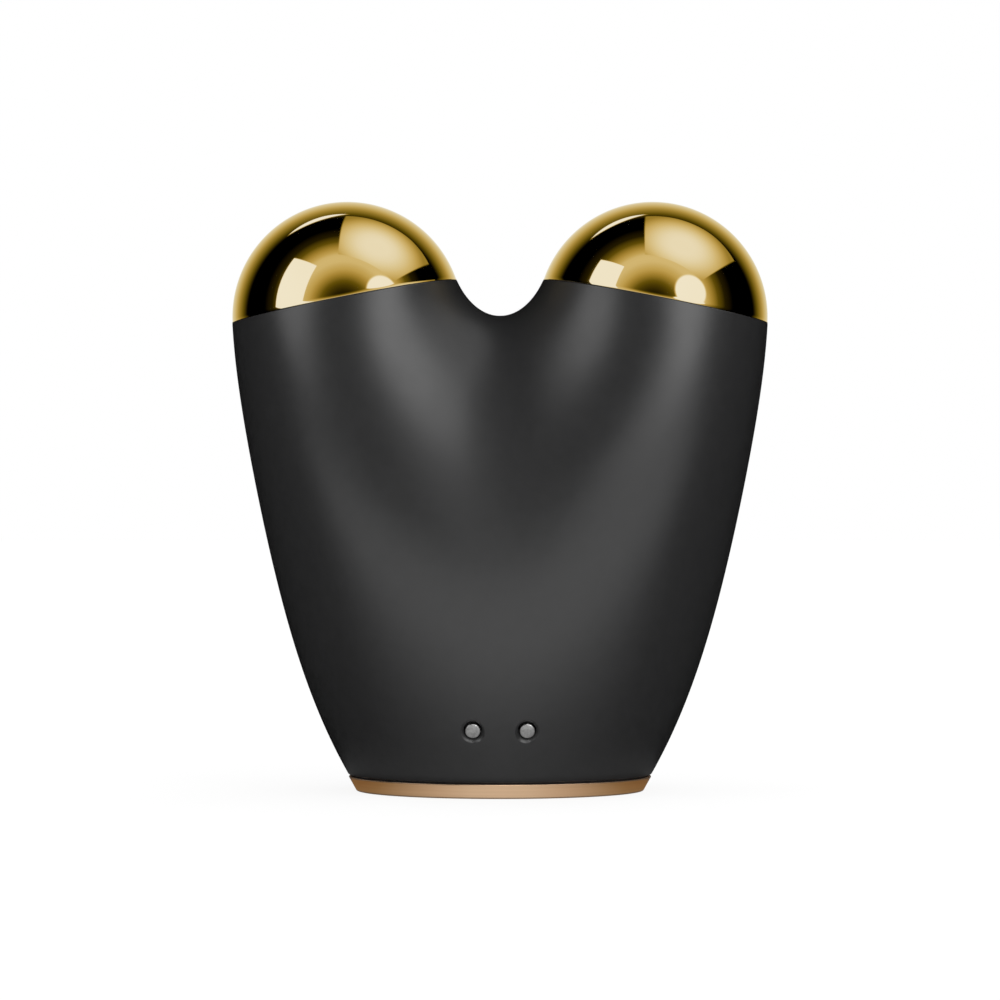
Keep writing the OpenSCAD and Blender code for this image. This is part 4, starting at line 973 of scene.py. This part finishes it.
card_edge = BAND_TAPER - CARD_GAP
card = finish_mesh("foot_card", oval_loft([
    (card_edge, CARD_HEIGHT), (-CARD_MARGIN, CARD_HEIGHT), (-CARD_MARGIN, CARD_HEIGHT - CARD_THICKNESS),
    (card_edge, CARD_HEIGHT - CARD_THICKNESS)], closed=False))
card_paint, tree, card_glow = glow_paint("card_glow")
place = tree.nodes.new("ShaderNodeTexCoord")
parts = tree.nodes.new("ShaderNodeSeparateXYZ")
tree.links.new(place.outputs["Object"], parts.inputs[0])
aside = calculate(tree, "DIVIDE", calculate(tree, "ABSOLUTE", parts.outputs["X"]), BASE_HALF_WIDTH)
tree.links.new(colour_ramp(tree, aside, PAINTED_BAND_REFLECTION), card_glow.inputs["Color"])
card.data.materials.append(card_paint)
glowing_only(card, band_only)

# ---- Studio walls ----
# A white backdrop behind the device, a large and a small soft box, a spot, a strip overhead and a
# ring of light round the camera glow on a wide shell. Only the polished domes see it.

WALL_DISTANCE = 6.0
TOP_LEVEL = 1.1
BOX_LEVEL = 1.06
STRIP_LEVEL = 1.05
PANEL_SOFTNESS = 0.01
DISC_SOFTNESS = 0.008

wall_mesh = bmesh.new()
bmesh.ops.create_icosphere(wall_mesh, subdivisions=4, radius=WALL_DISTANCE)
bmesh.ops.reverse_faces(wall_mesh, faces=wall_mesh.faces[:])
walls = finish_mesh("studio_walls", wall_mesh)
wall_paint, wall_tree, wall_glow = glow_paint("wall_paint")
place = wall_tree.nodes.new("ShaderNodeTexCoord")
outward = wall_tree.nodes.new("ShaderNodeVectorMath")
outward.operation = "NORMALIZE"
wall_tree.links.new(place.outputs["Object"], outward.inputs[0])


def facing(direction):
    """The cosine between a wall place's direction and the given one."""
    dot = wall_tree.nodes.new("ShaderNodeVectorMath")
    dot.operation = "DOT_PRODUCT"
    dot.inputs[1].default_value = direction.normalized()
    wall_tree.links.new(outward.outputs["Vector"], dot.inputs[0])
    return dot.outputs["Value"]


def glow(direction, levels):
    """Brightness round a direction. levels are (half angle in degrees, level) pairs."""
    return colour_ramp(wall_tree, facing(direction),
                       [(cos(radians(angle)), [level / TOP_LEVEL] * 3) for angle, level in levels])


def disc(direction, radius):
    """1 within a round patch of the walls. The radius is in degrees."""
    edge = cos(radians(radius))
    return fade(wall_tree, facing(direction), edge - DISC_SOFTNESS, edge + DISC_SOFTNESS)


def both(share, other):
    """Where two patches overlap."""
    return calculate(wall_tree, "MULTIPLY", share, other)


def outside_of(share):
    """All but a patch."""
    return calculate(wall_tree, "SUBTRACT", 1.0, share)


def panel(corners):
    """1 within a patch of the walls with straight sides, given by the directions of its corners."""
    middle = sum(corners, Vector()).normalized()
    inside = None
    for corner, following in zip(corners, corners[1:] + corners[:1]):
        side = corner.cross(following).normalized()
        if side.dot(middle) < 0:
            side.negate()
        share = fade(wall_tree, facing(side), -PANEL_SOFTNESS, PANEL_SOFTNESS)
        inside = share if inside is None else both(inside, share)
    return inside


def lay_over(below, level, share):
    """One brightness over another."""
    kept = calculate(wall_tree, "MULTIPLY", below, outside_of(share))
    return calculate(wall_tree, "ADD", kept, calculate(wall_tree, "MULTIPLY", level, share))


backdrop = glow(Vector((-0.01, 1, 0.055)), [
    (8, 0.85), (22, 0.77), (28, 0.73), (34, 0.65), (40, 0.51), (46, 0.34), (52, 0.18), (56, 0.085),
    (60, 0.015), (62.5, 0)])
camera_ring = glow(bearing(-1.6, 10.6), [
    (0, 0), (10, 0.01), (15, 0.035), (20, 0.085), (24, 0.16), (28, 0.33), (32, 0.5), (36, 0.64),
    (44, 0.785), (48, 0.8), (52, 0.775), (60, 0.5), (68, 0.14), (76, 0.02), (86, 0)])
large_box_glow = glow(bearing(66.8, 65.2), [
    (0, 1.0), (9, 1.0), (15, 0.97), (21, 0.9), (27, 0.8), (33, 0.64), (40, 0.38)])
large_box = both(panel([
    Vector((-0.035, 0.473, 0.88)), Vector((0.748, 0.403, 0.527)), Vector((0.697, -0.499, 0.515)),
    Vector((-0.12, -0.447, 0.887))]), outside_of(disc(Vector((0, 1, 0)), 62)))
small_box = panel([
    Vector((-0.66, -0.126, 0.739)), Vector((-0.434, -0.519, 0.736)), Vector((-0.684, -0.704, 0.19)),
    Vector((-0.957, -0.269, 0.108))])
spot = disc(bearing(38.5, 22.5), 15.5)
strip = both(disc(Vector((-0.258, 0.798, 0.545)), 27), disc(Vector((-0.187, -0.325, 0.927)), 52))

wall_light = calculate(wall_tree, "MAXIMUM", backdrop, camera_ring)
for level, share in ((large_box_glow, large_box), (BOX_LEVEL, small_box), (BOX_LEVEL, spot),
                     (STRIP_LEVEL, strip)):
    wall_light = lay_over(wall_light, level, share)

BRIGHTEST = 1.8
WALL_TONES = ((0, (0, 0, 0)), (0.15, (0.15, 0.118, 0.008)), (0.35, (0.35, 0.27, 0.055)),
              (0.5, (0.5, 0.39, 0.12)), (0.65, (0.65, 0.545, 0.25)), (0.8, (0.8, 0.74, 0.53)),
              (0.9, (0.9, 0.92, 0.92)), (1.0, (1.0, 1.1, 1.42)), (1.08, (1.08, 1.24, 1.8)))
wall_glow.inputs["Strength"].default_value = BRIGHTEST
wall_tones = colour_ramp(wall_tree, wall_light, [
    (level / TOP_LEVEL, [channel / BRIGHTEST for channel in colour]) for level, colour in WALL_TONES])
wall_tree.links.new(wall_tones, wall_glow.inputs["Color"])
walls.data.materials.append(wall_paint)
glowing_only(walls, polished)

# ---- World ----
# White beyond the table, and an even light of the same strength from all round.

world = bpy.data.worlds.new("studio")
bpy.context.scene.world = world
world.use_nodes = True
tree = world.node_tree
tree.nodes.clear()
white = tree.nodes.new("ShaderNodeBackground")
white.inputs["Color"].default_value = (1, 1, 1, 1)
output = tree.nodes.new("ShaderNodeOutputWorld")
tree.links.new(white.outputs["Background"], output.inputs["Surface"])
